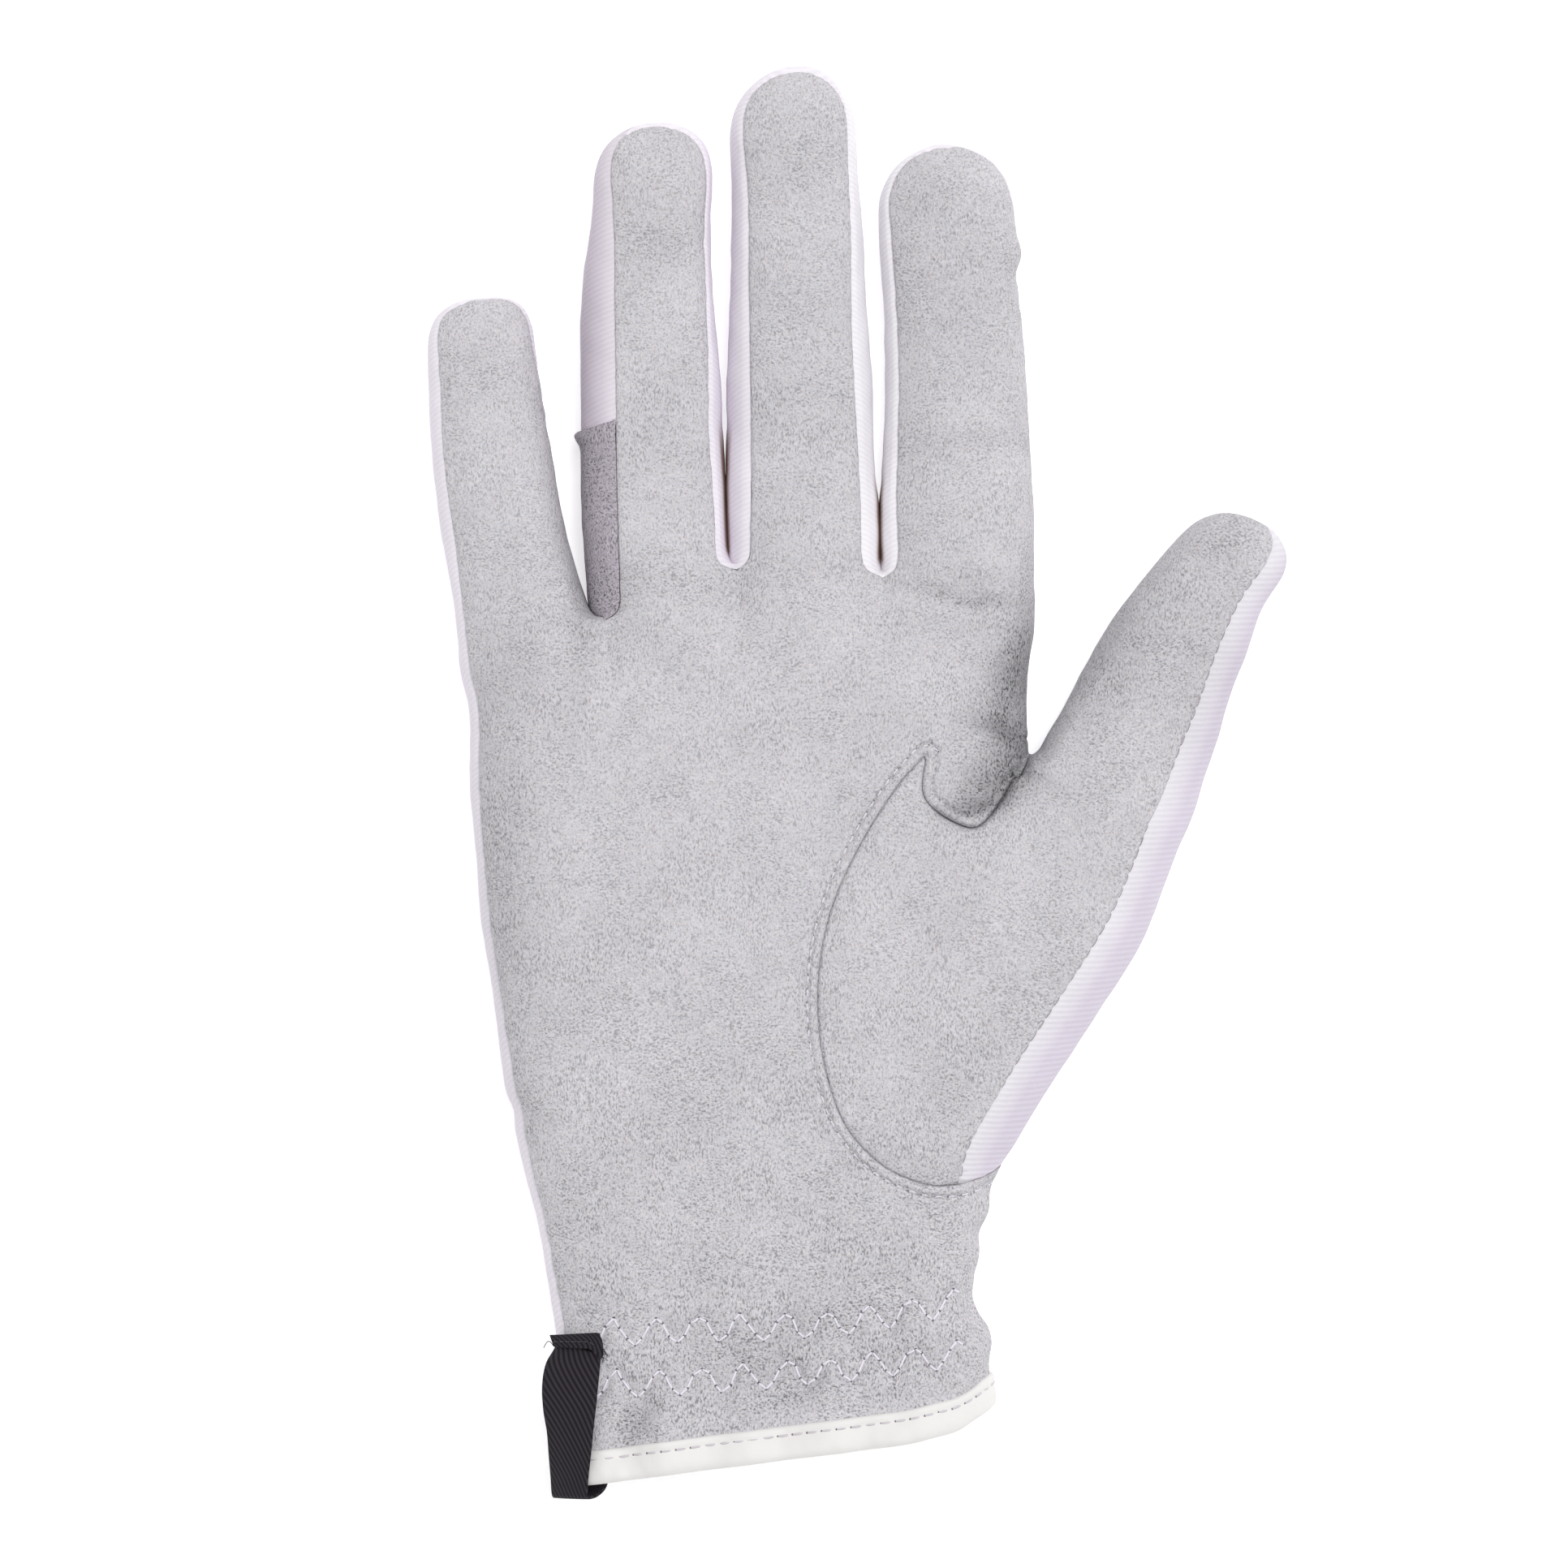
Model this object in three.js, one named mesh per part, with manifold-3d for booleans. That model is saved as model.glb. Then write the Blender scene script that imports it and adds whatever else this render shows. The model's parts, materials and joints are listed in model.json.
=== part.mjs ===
// A riding glove for the right hand, lying on its back with the palm up, as an assembly of sewn panels.
// Units are millimetres. +X points to the thumb side, +Y along the fingers and +Z up out of the palm.
// The whole glove is one smooth hand-shaped surface. It is worked out as sheets of points, split along
// the seams into panels, and each panel is given the thickness of its cloth.
import * as THREE from "three";
import Module from "manifold-3d";

// Cloth and seams
const suedeWall = 1.2;
const twillWall = 1;
const seamGap = 0.3;
const fingerClearance = 0.5;

// Hand
const palmWidth = 94.9;
const palmLength = 140;
const palmThickness = 23;
const knuckleThickness = 19;
const wristThickness = 19;
const hemThickness = 21;
const hemSlant = 8.8;
const hemCurl = 4;
const sideRounding = 13;
const tableSag = 0.9;

// Shares of palmLength between which the hand changes: narrowest at the wrist, full below the knuckles,
// and from where it thins towards them; up to where the hem's slant and its curl at the thumb's side
// reach.
const wristAt = 0.17;
const fullAt = 0.52;
const thinningFrom = 0.6;
const slantReach = 0.4;
const curlReach = 0.2;
const evenStripsUpTo = 0.2;

// Ruffles of the wrist elastic
const gatherDepth = 0.9;
const gatherCount = 7;
const gatherFullUpTo = 0.1;
const gatherFade = 0.14;

// Hem binding
const bindingHeight = 4.3;
const bindingWall = 0.8;

// The back of the hand is lifted by the binding's wall at the hem, and comes down to the table above it.
const hemLift = seamGap + bindingWall;
const hemLiftUpTo = 0.04;
const hemLiftFade = 0.06;

// Woven label
const labelWidth = 10.4;
const labelLength = 24;
const labelDrop = 1.9;
const labelReturn = 13;
const labelWall = 0.8;
const labelGap = 0.6;
const labelOffset = 3.2;
const labelLean = 2.6;
const labelTurnShift = 3.6;

// The label's course down the cuff: up is the share of its length above the hem, and lean the share of
// its lean.
const labelCourse = [
  { up: 1, lean: 0 },
  { up: 0.75, lean: 0.1 },
  { up: 0.5, lean: 0.35 },
  { up: 0.25, lean: 0.7 },
];
const labelTurnSteps = 6;
const labelColumns = 4;

// Digits, from the little finger to the thumb. The pitch is the share of palmWidth that a finger takes
// up in the palm and the width that of the finger itself. Lengths are shares of palmLength and
// thicknesses of palmThickness. A lean to the right is positive, in degrees, the curl is the tip's lift
// off the table in millimetres, and the squareness of the tip is the exponent of its outline, 2 for a
// round tip.
const digits = [
  { pitch: 0.2592, width: 0.22, length: 0.386, thickness: 0.63, lean: -9.4, curl: 2.5, square: 3 },
  { pitch: 0.2255, width: 0.2445, length: 0.553, thickness: 0.674, lean: -1.9, curl: 2.5, square: 2.2 },
  { pitch: 0.2529, width: 0.2592, length: 0.594, thickness: 0.696, lean: -1.6, curl: 2.5, square: 2 },
  { pitch: 0.2624, width: 0.2655, length: 0.523, thickness: 0.674, lean: -1.3, curl: 2.5, square: 2.1 },
  { pitch: 0, width: 0.294, length: 0.3815, thickness: 0.739, lean: 28.1, curl: 4, square: 2.4 },
];
for (const digit of digits) {
  digit.width *= palmWidth;
  digit.length *= palmLength;
  digit.thickness *= palmThickness;
}
const [little, ring, middle, index, thumb] = digits;

// Ends of the digits: the tip's round end in half-widths, the longer end over which its height goes to
// nothing, and how much thinner the tip is. From the base, a digit takes on its own thickness and
// outline over these lengths.
const tipLength = 0.95;
const tipFallLength = 1.5;
const tipFallExponent = 2.2;
const tipThinness = 0.9;
const thicknessBlend = 0.3;
const outlineBlend = 15;
const heightBlend = 14;

// Sections of each digit, from its base to its tip. Along is the share of its length, shift the share of
// its width that the middle lies right of the axis, half the half-width as a share of the width, and the
// seams are where the palm's suede ends on each side, as shares of the half-width.
little.sections = [
  { along: 0.0, shift: -0.05, half: 0.54, seamLeft: 0.8, seamRight: 0.8 },
  { along: 0.22, shift: -0.09, half: 0.5, seamLeft: 0.79, seamRight: 0.8 },
  { along: 0.53, shift: -0.094, half: 0.465, seamLeft: 0.78, seamRight: 0.8 },
  { along: 0.82, shift: -0.048, half: 0.43, seamLeft: 0.79, seamRight: 0.8 },
  { along: 1.0, shift: 0.0, half: 0.4, seamLeft: 0.84, seamRight: 0.84 },
];
ring.sections = [
  { along: 0.0, shift: -0.1, half: 0.5, seamLeft: 0.5, seamRight: 0.87 },
  { along: 0.2, shift: -0.104, half: 0.508, seamLeft: 0.48, seamRight: 0.87 },
  { along: 0.4, shift: -0.096, half: 0.49, seamLeft: 0.5, seamRight: 0.85 },
  { along: 0.7, shift: -0.078, half: 0.452, seamLeft: 0.53, seamRight: 0.92 },
  { along: 0.87, shift: -0.038, half: 0.43, seamLeft: 0.68, seamRight: 0.93 },
  { along: 1.0, shift: 0.0, half: 0.42, seamLeft: 0.8, seamRight: 0.92 },
];
middle.sections = [
  { along: 0.0, shift: -0.033, half: 0.5, seamLeft: 0.74, seamRight: 0.8 },
  { along: 0.2, shift: -0.03, half: 0.5, seamLeft: 0.7, seamRight: 0.78 },
  { along: 0.45, shift: -0.022, half: 0.475, seamLeft: 0.71, seamRight: 0.77 },
  { along: 0.75, shift: -0.022, half: 0.432, seamLeft: 0.76, seamRight: 0.86 },
  { along: 0.9, shift: -0.018, half: 0.418, seamLeft: 0.83, seamRight: 0.9 },
  { along: 1.0, shift: 0.0, half: 0.41, seamLeft: 0.86, seamRight: 0.9 },
];
index.sections = [
  { along: 0.0, shift: 0.004, half: 0.504, seamLeft: 0.82, seamRight: 0.8 },
  { along: 0.25, shift: 0.006, half: 0.5, seamLeft: 0.8, seamRight: 0.8 },
  { along: 0.5, shift: 0.008, half: 0.455, seamLeft: 0.83, seamRight: 0.8 },
  { along: 0.75, shift: -0.006, half: 0.458, seamLeft: 0.83, seamRight: 0.8 },
  { along: 0.9, shift: -0.026, half: 0.44, seamLeft: 0.87, seamRight: 0.82 },
  { along: 1.0, shift: -0.01, half: 0.42, seamLeft: 0.88, seamRight: 0.84 },
];
thumb.sections = [
  { along: 0.0, shift: -0.004, half: 0.5, seamLeft: 0.8, seamRight: 0.53 },
  { along: 0.38, shift: -0.036, half: 0.45, seamLeft: 0.8, seamRight: 0.55 },
  { along: 0.58, shift: -0.064, half: 0.397, seamLeft: 0.8, seamRight: 0.55 },
  { along: 0.77, shift: -0.057, half: 0.34, seamLeft: 0.8, seamRight: 0.56 },
  { along: 0.88, shift: -0.02, half: 0.33, seamLeft: 0.8, seamRight: 0.57 },
  { along: 1.0, shift: 0.01, half: 0.33, seamLeft: 0.82, seamRight: 0.6 },
];

// Sections of the hand, from the hem to the knuckles. Along is the share of palmLength. Left, web and
// right are shares of the palm's width from its middle: the little finger's side, the line where the
// thumb joins the palm (above the thumb, the index finger's side), and the thumb's side. The seam is
// where the suede ends between web and right. Drop is how far the right end lies below the web, as a
// share of palmLength.
const handSections = [
  { along: 0.0, left: -0.312, web: 0.299, right: 0.418, seam: 0.8, drop: 0.0 },
  { along: 0.086, left: -0.319, web: 0.288, right: 0.423, seam: 0.8, drop: 0.0 },
  { along: 0.171, left: -0.332, web: 0.268, right: 0.394, seam: 0.8, drop: 0.0 },
  { along: 0.257, left: -0.36, web: 0.271, right: 0.412, seam: 0.72, drop: 0.0 },
  { along: 0.343, left: -0.389, web: 0.293, right: 0.444, seam: 0.55, drop: 0.0 },
  { along: 0.429, left: -0.416, web: 0.327, right: 0.528, seam: 0.56, drop: -0.003 },
  { along: 0.543, left: -0.444, web: 0.38, right: 0.612, seam: 0.65, drop: -0.029 },
  { along: 0.657, left: -0.461, web: 0.43, right: 0.69, seam: 0.72, drop: -0.057 },
  { along: 0.743, left: -0.475, web: 0.466, right: 0.728, seam: 0.75, drop: -0.081 },
  { along: 0.8, left: -0.479, web: 0.484, right: 0.752, seam: 0.766, drop: -0.09 },
  { along: 0.886, left: -0.481, web: 0.49, right: 0.79, seam: 0.766, drop: -0.09 },
  { along: 0.943, left: -0.495, web: 0.492, right: 0.79, seam: 0.766, drop: -0.09 },
  { along: 1.0, left: -0.505, web: 0.499, right: 0.79, seam: 0.766, drop: -0.09 },
];
const thumbCrotch = 0.8;

// How far each end of a finger's base lies above the knuckle line, as a share of palmLength, from the
// little finger's outer side to the index finger's outer side.
const knuckleRise = [-0.034, -0.024, 0.038, 0.029, -0.002];

// Insets of the sheets' edges from the hand's outline, and sizes of the crotches between the digits.
const outerInset = 1.5;
const shoulderInset = 2.5;
const crotchRadius = 2;
const thumbCrotchRadius = 4;
const crotchReach = 1.1;
const crotchDip = 0.06;
const crotchDipRadius = 9;
const thumbCrotchFacing = new THREE.Vector2(0.4, 0.92);
const valleyDepth = 0.22;
const valleyStart = 0.86;
const valleyExponent = 2.5;

// The seam of the thumb hole, as points in shares of the palm's width and of palmLength. It runs from
// the slot beside the index finger round the suede tongue, down the mound and round the thumb's base.
const thumbSeam = [
  { across: 0.486, along: 0.812 },
  { across: 0.449, along: 0.775 },
  { across: 0.41, along: 0.74 },
  { across: 0.381, along: 0.733 },
  { across: 0.327, along: 0.752 },
  { across: 0.304, along: 0.775 },
  { across: 0.311, along: 0.819 },
  { across: 0.257, along: 0.778 },
  { across: 0.193, along: 0.709 },
  { across: 0.144, along: 0.633 },
  { across: 0.123, along: 0.552 },
  { across: 0.13, along: 0.467 },
  { across: 0.165, along: 0.39 },
  { across: 0.222, along: 0.343 },
  { across: 0.285, along: 0.319 },
  { across: 0.349, along: 0.312 },
  { across: 0.419, along: 0.326 },
  { across: 0.485, along: 0.371 },
];
const spikePoint = 6;
const tongueSteps = 20;
const moundSteps = 48;

// Folds and dents of the palm side. Across and along place the middle, in the same shares, the turn is
// the fold's direction from +X in degrees, and length, width and depth are in millimetres. A negative
// depth is a ridge.
const folds = [
  { across: 0.36, along: 1.0, turn: -8, length: 20, width: 2.5, depth: 0.9 },
  { across: 0.44, along: 0.9, turn: -60, length: 16, width: 5, depth: 1.4 },
  { across: -0.24, along: 0.985, turn: 14, length: 18, width: 5, depth: -0.5 },
  { across: 0.3, along: 1.1, turn: 4, length: 18, width: 3, depth: 0.8 },
  { across: 0.0, along: 0.98, turn: 5, length: 30, width: 4, depth: 0.5 },
  { across: -0.28, along: 0.5, turn: 55, length: 30, width: 6, depth: 0.6 },
  { across: -0.2, along: 0.28, turn: 70, length: 24, width: 6, depth: 0.5 },
];

// Mesh density, and the shape of the sections: the exponents of the palm side and the back, the back's
// share of the half-width and the height of the widest point.
const sheetColumns = 5;
const backColumns = 4;
const wallColumns = 2;
const palmRows = [0, 0.035, 0.08, 0.125, 0.171, 0.23, 0.3, 0.37, 0.44, 0.51, 0.58, 0.65, 0.73];
const webRows = [0.0147, 0.043, 0.09, 0.13, 0.168, 0.2];
const digitRows = [0.012, 0.035, 0.09, 0.18, 0.29, 0.41, 0.53, 0.65, 0.77, 0.87, 0.93, 0.97, 0.992];
const crossExponent = 2.5;
const bottomExponent = 3;
const bottomShare = 0.78;
const equatorShare = 0.46;
const steepestWall = 0.97;
const patchRows = 6;
const cuffRows = 6;

const clamp = (value, low, high) => Math.min(high, Math.max(low, value));
const mix = (a, b, share) => a + (b - a) * share;
const ease = (share) => {
  const t = clamp(share, 0, 1);
  return t * t * (3 - 2 * t);
};
const quarterArc = (share) => Math.sqrt(1 - (1 - clamp(share, 0, 1)) ** 2);
const dome = (share, exponent) => (1 - clamp(Math.abs(share), 0, 1) ** exponent) ** (1 / exponent);
const edgeRise = (inset, exponent) => dome(1 - clamp(inset / sideRounding, 0, 1), exponent);

// A smooth curve through one column of a table, read at a value of its along column.
function readTable(table, column, along) {
  const last = table.length - 1;
  const at = clamp(along, table[0].along, table[last].along);
  let i = 0;
  while (i < last - 1 && at > table[i + 1].along) i++;
  const slope = (k) => {
    const a = table[Math.max(k - 1, 0)];
    const b = table[Math.min(k + 1, last)];
    return (b[column] - a[column]) / (b.along - a.along);
  };
  const span = table[i + 1].along - table[i].along;
  const t = (at - table[i].along) / span;
  const [h00, h10] = [(1 + 2 * t) * (1 - t) ** 2, t * (1 - t) ** 2];
  const [h01, h11] = [t * t * (3 - 2 * t), t * t * (t - 1)];
  return (
    h00 * table[i][column] + h10 * span * slope(i) + h01 * table[i + 1][column] + h11 * span * slope(i + 1)
  );
}

// Layout of the hand. Boundaries are numbered from the little finger's outer side (0) over the crotches
// (1 to 3) to the web line (4) and the thumb's side (5).
const pitchShares = [0];
for (const digit of digits) pitchShares.push(pitchShares.at(-1) + digit.pitch);

function handThickness(along) {
  const wrist = mix(hemThickness, wristThickness, ease(along / wristAt));
  const body = mix(wrist, palmThickness, ease((along - wristAt) / (fullAt - wristAt)));
  return mix(body, knuckleThickness, ease((along - thinningFrom) / (1 - thinningFrom)));
}

// Plan position of a boundary at a share of the palm's length.
function boundaryPoint(number, along) {
  const left = readTable(handSections, "left", along) * palmWidth;
  const web = readTable(handSections, "web", along) * palmWidth;
  const right = readTable(handSections, "right", along) * palmWidth;
  const spread = ease((along - evenStripsUpTo) / (1 - evenStripsUpTo));
  const even = mix(number / 4, pitchShares[Math.min(number, 4)], spread);
  const x = number === 5 ? right : mix(left, web, even);
  const hemTilt = (hemSlant * (x - (left + right) / 2)) / (right - left);
  const fanned = ease((along - thumbCrotch) / (1 - thumbCrotch));
  const rise = knuckleRise[Math.min(number, 4)] * palmLength * fanned;
  const curl = hemCurl * (1 - ease(along / curlReach));
  const drop = number === 5 ? readTable(handSections, "drop", along) * palmLength + curl : 0;
  const y = along * palmLength + hemTilt * (1 - ease(along / slantReach)) + rise + drop;
  return new THREE.Vector2(x, y);
}

// Axes of the digits, each from the middle of its base.
const crotches = [1, 2, 3].map((number) => boundaryPoint(number, 1));
const thumbWeb = boundaryPoint(4, thumbCrotch);
crotches.push(thumbWeb);
digits.forEach((digit, i) => {
  const a = i < 4 ? boundaryPoint(i, 1) : thumbWeb;
  const b = i < 4 ? boundaryPoint(i + 1, 1) : boundaryPoint(5, thumbCrotch);
  digit.base = a.clone().add(b).multiplyScalar(0.5);
  const angle = THREE.MathUtils.degToRad(digit.lean);
  digit.forward = new THREE.Vector2(Math.sin(angle), Math.cos(angle));
  digit.side = new THREE.Vector2(Math.cos(angle), -Math.sin(angle));
  digit.baseThickness = handThickness(i < 4 ? 1 : thumbCrotch);
});

const alongOf = (digit, point) => point.clone().sub(digit.base).dot(digit.forward);
const acrossOf = (digit, point) => point.clone().sub(digit.base).dot(digit.side);
const onDigit = (digit, along, across) =>
  digit.base.clone().addScaledVector(digit.forward, along).addScaledVector(digit.side, across);

// Outline of a digit at a distance along its axis: middle, half-width, and how far the tip has closed.
function digitSection(digit, distance) {
  const share = distance / digit.length;
  const half = readTable(digit.sections, "half", share) * digit.width;
  const into = (length) => clamp((distance - digit.length + length) / length, 0, 1);
  const own = mix(digit.baseThickness, digit.thickness, ease(share / thicknessBlend));
  return {
    middle: readTable(digit.sections, "shift", share) * digit.width,
    half: half * dome(into(tipLength * half), digit.square),
    close: dome(into(tipFallLength * half), tipFallExponent),
    seamLeft: readTable(digit.sections, "seamLeft", share),
    seamRight: readTable(digit.sections, "seamRight", share),
    thickness: own * mix(1, tipThinness, ease(share)),
    lift: digit.curl * share * share,
  };
}

// Height lost to folds at a point of the palm side.
function foldDepth(x, y) {
  let depth = 0;
  for (const fold of folds) {
    const turn = THREE.MathUtils.degToRad(fold.turn);
    const dx = x - fold.across * palmWidth;
    const dy = y - fold.along * palmLength;
    const along = dx * Math.cos(turn) + dy * Math.sin(turn);
    const across = dy * Math.cos(turn) - dx * Math.sin(turn);
    depth += fold.depth * Math.exp(-((2 * along / fold.length) ** 2) - (across / fold.width) ** 2);
  }
  return depth;
}

// Ruffles that the wrist elastic gathers into the cuff.
function gather(x, along) {
  const strength = gatherDepth * (1 - ease((along - gatherFullUpTo) / gatherFade));
  return strength * Math.cos((2 * Math.PI * gatherCount * x) / palmWidth);
}

// One row of a sheet's edge, from which the wall beside it is made: the edge's points on the palm side
// and the back, the direction outwards in plan, the reach of the outline beyond the palm-side edge, and
// the height of the equator.
const edgeRow = (top, bottom, out, reach, equator) => ({ top, bottom, out, reach, equator });

// Share of the full height that the sheets have at a point of a palm row.
function palmRise(point, left, right, column, strip, along, exponent) {
  let rise = edgeRise(point.x - left, exponent) * edgeRise(right - point.x, exponent);
  if (along < thumbCrotch) rise *= edgeRise(point.distanceTo(thumbWeb) + shoulderInset, exponent);
  for (const crotch of crotches.slice(0, 3)) {
    rise *= 1 - crotchDip * (1 - ease(point.distanceTo(crotch) / crotchDipRadius));
  }
  if (strip > 3) return rise;
  const nearCrotch = Math.max(strip > 0 ? 1 - 2 * column : 0, strip < 3 ? 2 * column - 1 : 0, 0);
  const valley = nearCrotch ** valleyExponent * ease((along - valleyStart) / (1 - valleyStart));
  return rise * (1 - valleyDepth * valley);
}

// Heights of the palm side and of the back at a point.
function topHeight(equator, rise, thickness, point, ruffle) {
  return equator + (thickness * (1 - equatorShare) - foldDepth(point.x, point.y) + ruffle) * rise;
}

function backHeight(equator, rise, thickness, floor, ruffle) {
  return Math.max(equator - (thickness * equatorShare + tableSag + ruffle / 2) * rise, floor);
}

// A row of a sheet between two points in plan, with the height given for each point and its share of the
// row.
function sheetRow([start, end], columns, heightAt) {
  return Array.from({ length: columns + 1 }, (_, column) => {
    const share = column / columns;
    const point = start.clone().lerp(end, share);
    return new THREE.Vector3(point.x, point.y, heightAt(point, share, column));
  });
}

// Sheets of the hand below the knuckles: for each strip, rows of palm-side and back points from the hem
// upwards.
const strips = digits.map(() => ({ top: [], bottom: [], leftEdge: [], rightEdge: [] }));
const handRows = [...palmRows, thumbCrotch, ...webRows.map((share) => thumbCrotch + share)];

function handRow(along) {
  const thickness = handThickness(along);
  const equator = equatorShare * thickness;
  const openStrips = along <= thumbCrotch ? 5 : 4;
  const left = boundaryPoint(0, along);
  const right = boundaryPoint(openStrips, along);
  for (let strip = 0; strip < openStrips; strip++) {
    const ends = [strip, strip + 1].map((number) => boundaryPoint(number, along));
    const backEnds = ends.map((end) => end.clone());
    if (strip === 0) {
      ends[0].x += outerInset;
      backEnds[0].x += shoulderInset;
    }
    if (strip === 4) {
      const web = ends[0].clone();
      const seam = readTable(handSections, "seam", along);
      ends[1] = web.clone().lerp(right, seam);
      backEnds[1] = web.clone().lerp(right, bottomShare);
    }
    if (strip === 3 && openStrips === 4) {
      const above = (along - thumbCrotch) * palmLength;
      const side = right.x - shoulderInset;
      ends[1].x = mix(thumbWeb.x, side, quarterArc(above / thumbCrotchRadius));
      backEnds[1].x = ends[1].x;
    }
    const floor = hemLift * (1 - ease((along - hemLiftUpTo) / hemLiftFade));
    const riseAt = (p, share, exponent) => palmRise(p, left.x, right.x, share, strip, along, exponent);
    const row = {
      top: sheetRow(ends, sheetColumns, (p, share) =>
        topHeight(equator, riseAt(p, share, crossExponent), thickness, p, gather(p.x, along)),
      ),
      bottom: sheetRow(backEnds, backColumns, (p, share) =>
        backHeight(equator, riseAt(p, share, bottomExponent), thickness, floor, gather(p.x, along)),
      ),
    };
    strips[strip].top.push(row.top);
    strips[strip].bottom.push(row.bottom);
    if (strip === 0) {
      const out = new THREE.Vector2(-1, 0);
      strips[0].leftEdge.push(edgeRow(row.top[0], row.bottom[0], out, outerInset, equator));
    }
    if (strip === 4) {
      const out = right.clone().sub(boundaryPoint(4, along)).normalize();
      const reach = right.distanceTo(ends[1]);
      strips[4].rightEdge.push(edgeRow(row.top.at(-1), row.bottom.at(-1), out, reach, equator));
    }
    if (strip === 3 && openStrips === 4) {
      const reach = right.x - ends[1].x;
      const out = new THREE.Vector2(1, 0);
      strips[3].rightEdge.push(edgeRow(row.top.at(-1), row.bottom.at(-1), out, reach, equator));
    }
  }
}
handRows.forEach(handRow);

// Sheets of the digits, from the base row upwards. Each side starts at an anchor on the hand: a crotch,
// from which it opens in a round end, or the outline of the hand, from which it goes over slowly into
// the digit's own outline.
function digitSheets(number) {
  const digit = digits[number];
  const strip = strips[number];
  const baseTop = strip.top.at(-1);
  const baseBottom = strip.bottom.at(-1);
  const rounded = number < 4 ? [number > 0, number < 3] : [true, false];
  const openings = [0, 1].map((side) => {
    if (!rounded[side]) return outlineBlend;
    return number === 4 || (number === 3 && side) ? thumbCrotchRadius : crotchRadius;
  });
  const anchors = [baseTop[0], baseTop.at(-1)].map((p) => new THREE.Vector2(p.x, p.y));
  const backAnchors = [baseBottom[0], baseBottom.at(-1)].map((p) => new THREE.Vector2(p.x, p.y));
  const outerReach = strip.rightEdge.at(-1)?.reach ?? outerInset;
  const baseEquator = equatorShare * digit.baseThickness;
  for (const share of digitRows) {
    const sides = [0, 1].map((side) => {
      const start = alongOf(digit, anchors[side]);
      const distance = mix(start, digit.length, share);
      const section = digitSection(digit, distance);
      const climbed = distance - start;
      const opened = (rounded[side] ? quarterArc : ease)(climbed / openings[side]);
      const sign = side ? 1 : -1;
      const seam = side ? section.seamRight : section.seamLeft;
      const across = (anchor, shareOfHalf) =>
        mix(acrossOf(digit, anchor), section.middle + sign * shareOfHalf * section.half, opened);
      return {
        point: onDigit(digit, distance, across(anchors[side], seam)),
        back: onDigit(digit, distance, across(backAnchors[side], bottomShare)),
        out: digit.side.clone().multiplyScalar(sign),
        reach: mix(rounded[side] ? crotchReach : outerReach, (1 - seam) * section.half, opened),
        section,
        opened,
        distance,
      };
    });
    const placeAt = (t) => {
      const distance = mix(sides[0].distance, sides[1].distance, t);
      const section = digitSection(digit, Math.min(distance, digit.length));
      const equator = section.lift + equatorShare * section.thickness;
      return { section, equator, settled: ease(distance / heightBlend) };
    };
    const riseOf = (base, own, settled, section) => mix(base, own, settled) * section.close;
    const row = {
      top: sheetRow([sides[0].point, sides[1].point], sheetColumns, (point, t, column) => {
        const { section, equator, settled } = placeAt(t);
        const base = (baseTop[column].z - baseEquator) / (digit.baseThickness * (1 - equatorShare));
        const own = dome(mix(-section.seamLeft, section.seamRight, t), crossExponent);
        return topHeight(equator, riseOf(base, own, settled, section), section.thickness, point, 0);
      }),
      bottom: sheetRow([sides[0].back, sides[1].back], backColumns, (point, t, column) => {
        const { section, equator, settled } = placeAt(t);
        const base = (baseEquator - baseBottom[column].z) / (digit.baseThickness * equatorShare + tableSag);
        const own = dome(mix(-bottomShare, bottomShare, t), bottomExponent);
        return backHeight(equator, riseOf(base, own, settled, section), section.thickness, section.lift, 0);
      }),
    };
    strip.top.push(row.top);
    strip.bottom.push(row.bottom);
    [strip.leftEdge, strip.rightEdge].forEach((edge, side) => {
      const { out, reach, section } = sides[side];
      const equator = section.lift + equatorShare * section.thickness;
      edge.push(edgeRow(row.top.at(side ? -1 : 0), row.bottom.at(side ? -1 : 0), out, reach, equator));
    });
  }
  const end = digitSection(digit, digit.length);
  const tipPlan = onDigit(digit, digit.length, end.middle);
  const tip = new THREE.Vector3(tipPlan.x, tipPlan.y, end.lift + equatorShare * end.thickness);
  strip.top.push(strip.top[0].map(() => tip));
  strip.bottom.push(strip.bottom[0].map(() => tip));
  for (const edge of [strip.leftEdge, strip.rightEdge]) {
    edge.push(edgeRow(tip, tip, digit.forward.clone(), 0, tip.z));
  }
}
digits.forEach((digit, number) => digitSheets(number));

// A wall of points from the palm-side edge over the outline to the back edge, one row for each row of
// the edge.
function wallRows(edge) {
  return edge.map(({ top, bottom, out, reach, equator }) => {
    const outline = new THREE.Vector2(top.x, top.y).addScaledVector(out, reach);
    const start = clamp(1 - reach / sideRounding, 0, steepestWall);
    const points = [];
    const halves = [
      { corner: top, exponent: crossExponent },
      { corner: bottom, exponent: bottomExponent },
    ];
    for (const { corner, exponent } of halves) {
      const first = Math.asin(start ** (exponent / 2));
      const arc = [];
      for (let c = 0; c <= wallColumns; c++) {
        const angle = mix(first, Math.PI / 2, c / wallColumns);
        const outwards = (Math.sin(angle) ** (2 / exponent) - start) / (1 - start);
        const upwards = (Math.cos(angle) / Math.cos(first)) ** (2 / exponent);
        const [x, y] = [mix(corner.x, outline.x, outwards), mix(corner.y, outline.y, outwards)];
        const z = c === 0 ? corner.z : mix(equator, corner.z, c === wallColumns ? 0 : upwards);
        arc.push(new THREE.Vector3(x, y, z));
      }
      points.push(...(points.length ? arc.reverse().slice(1) : arc));
    }
    return points;
  });
}

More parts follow.
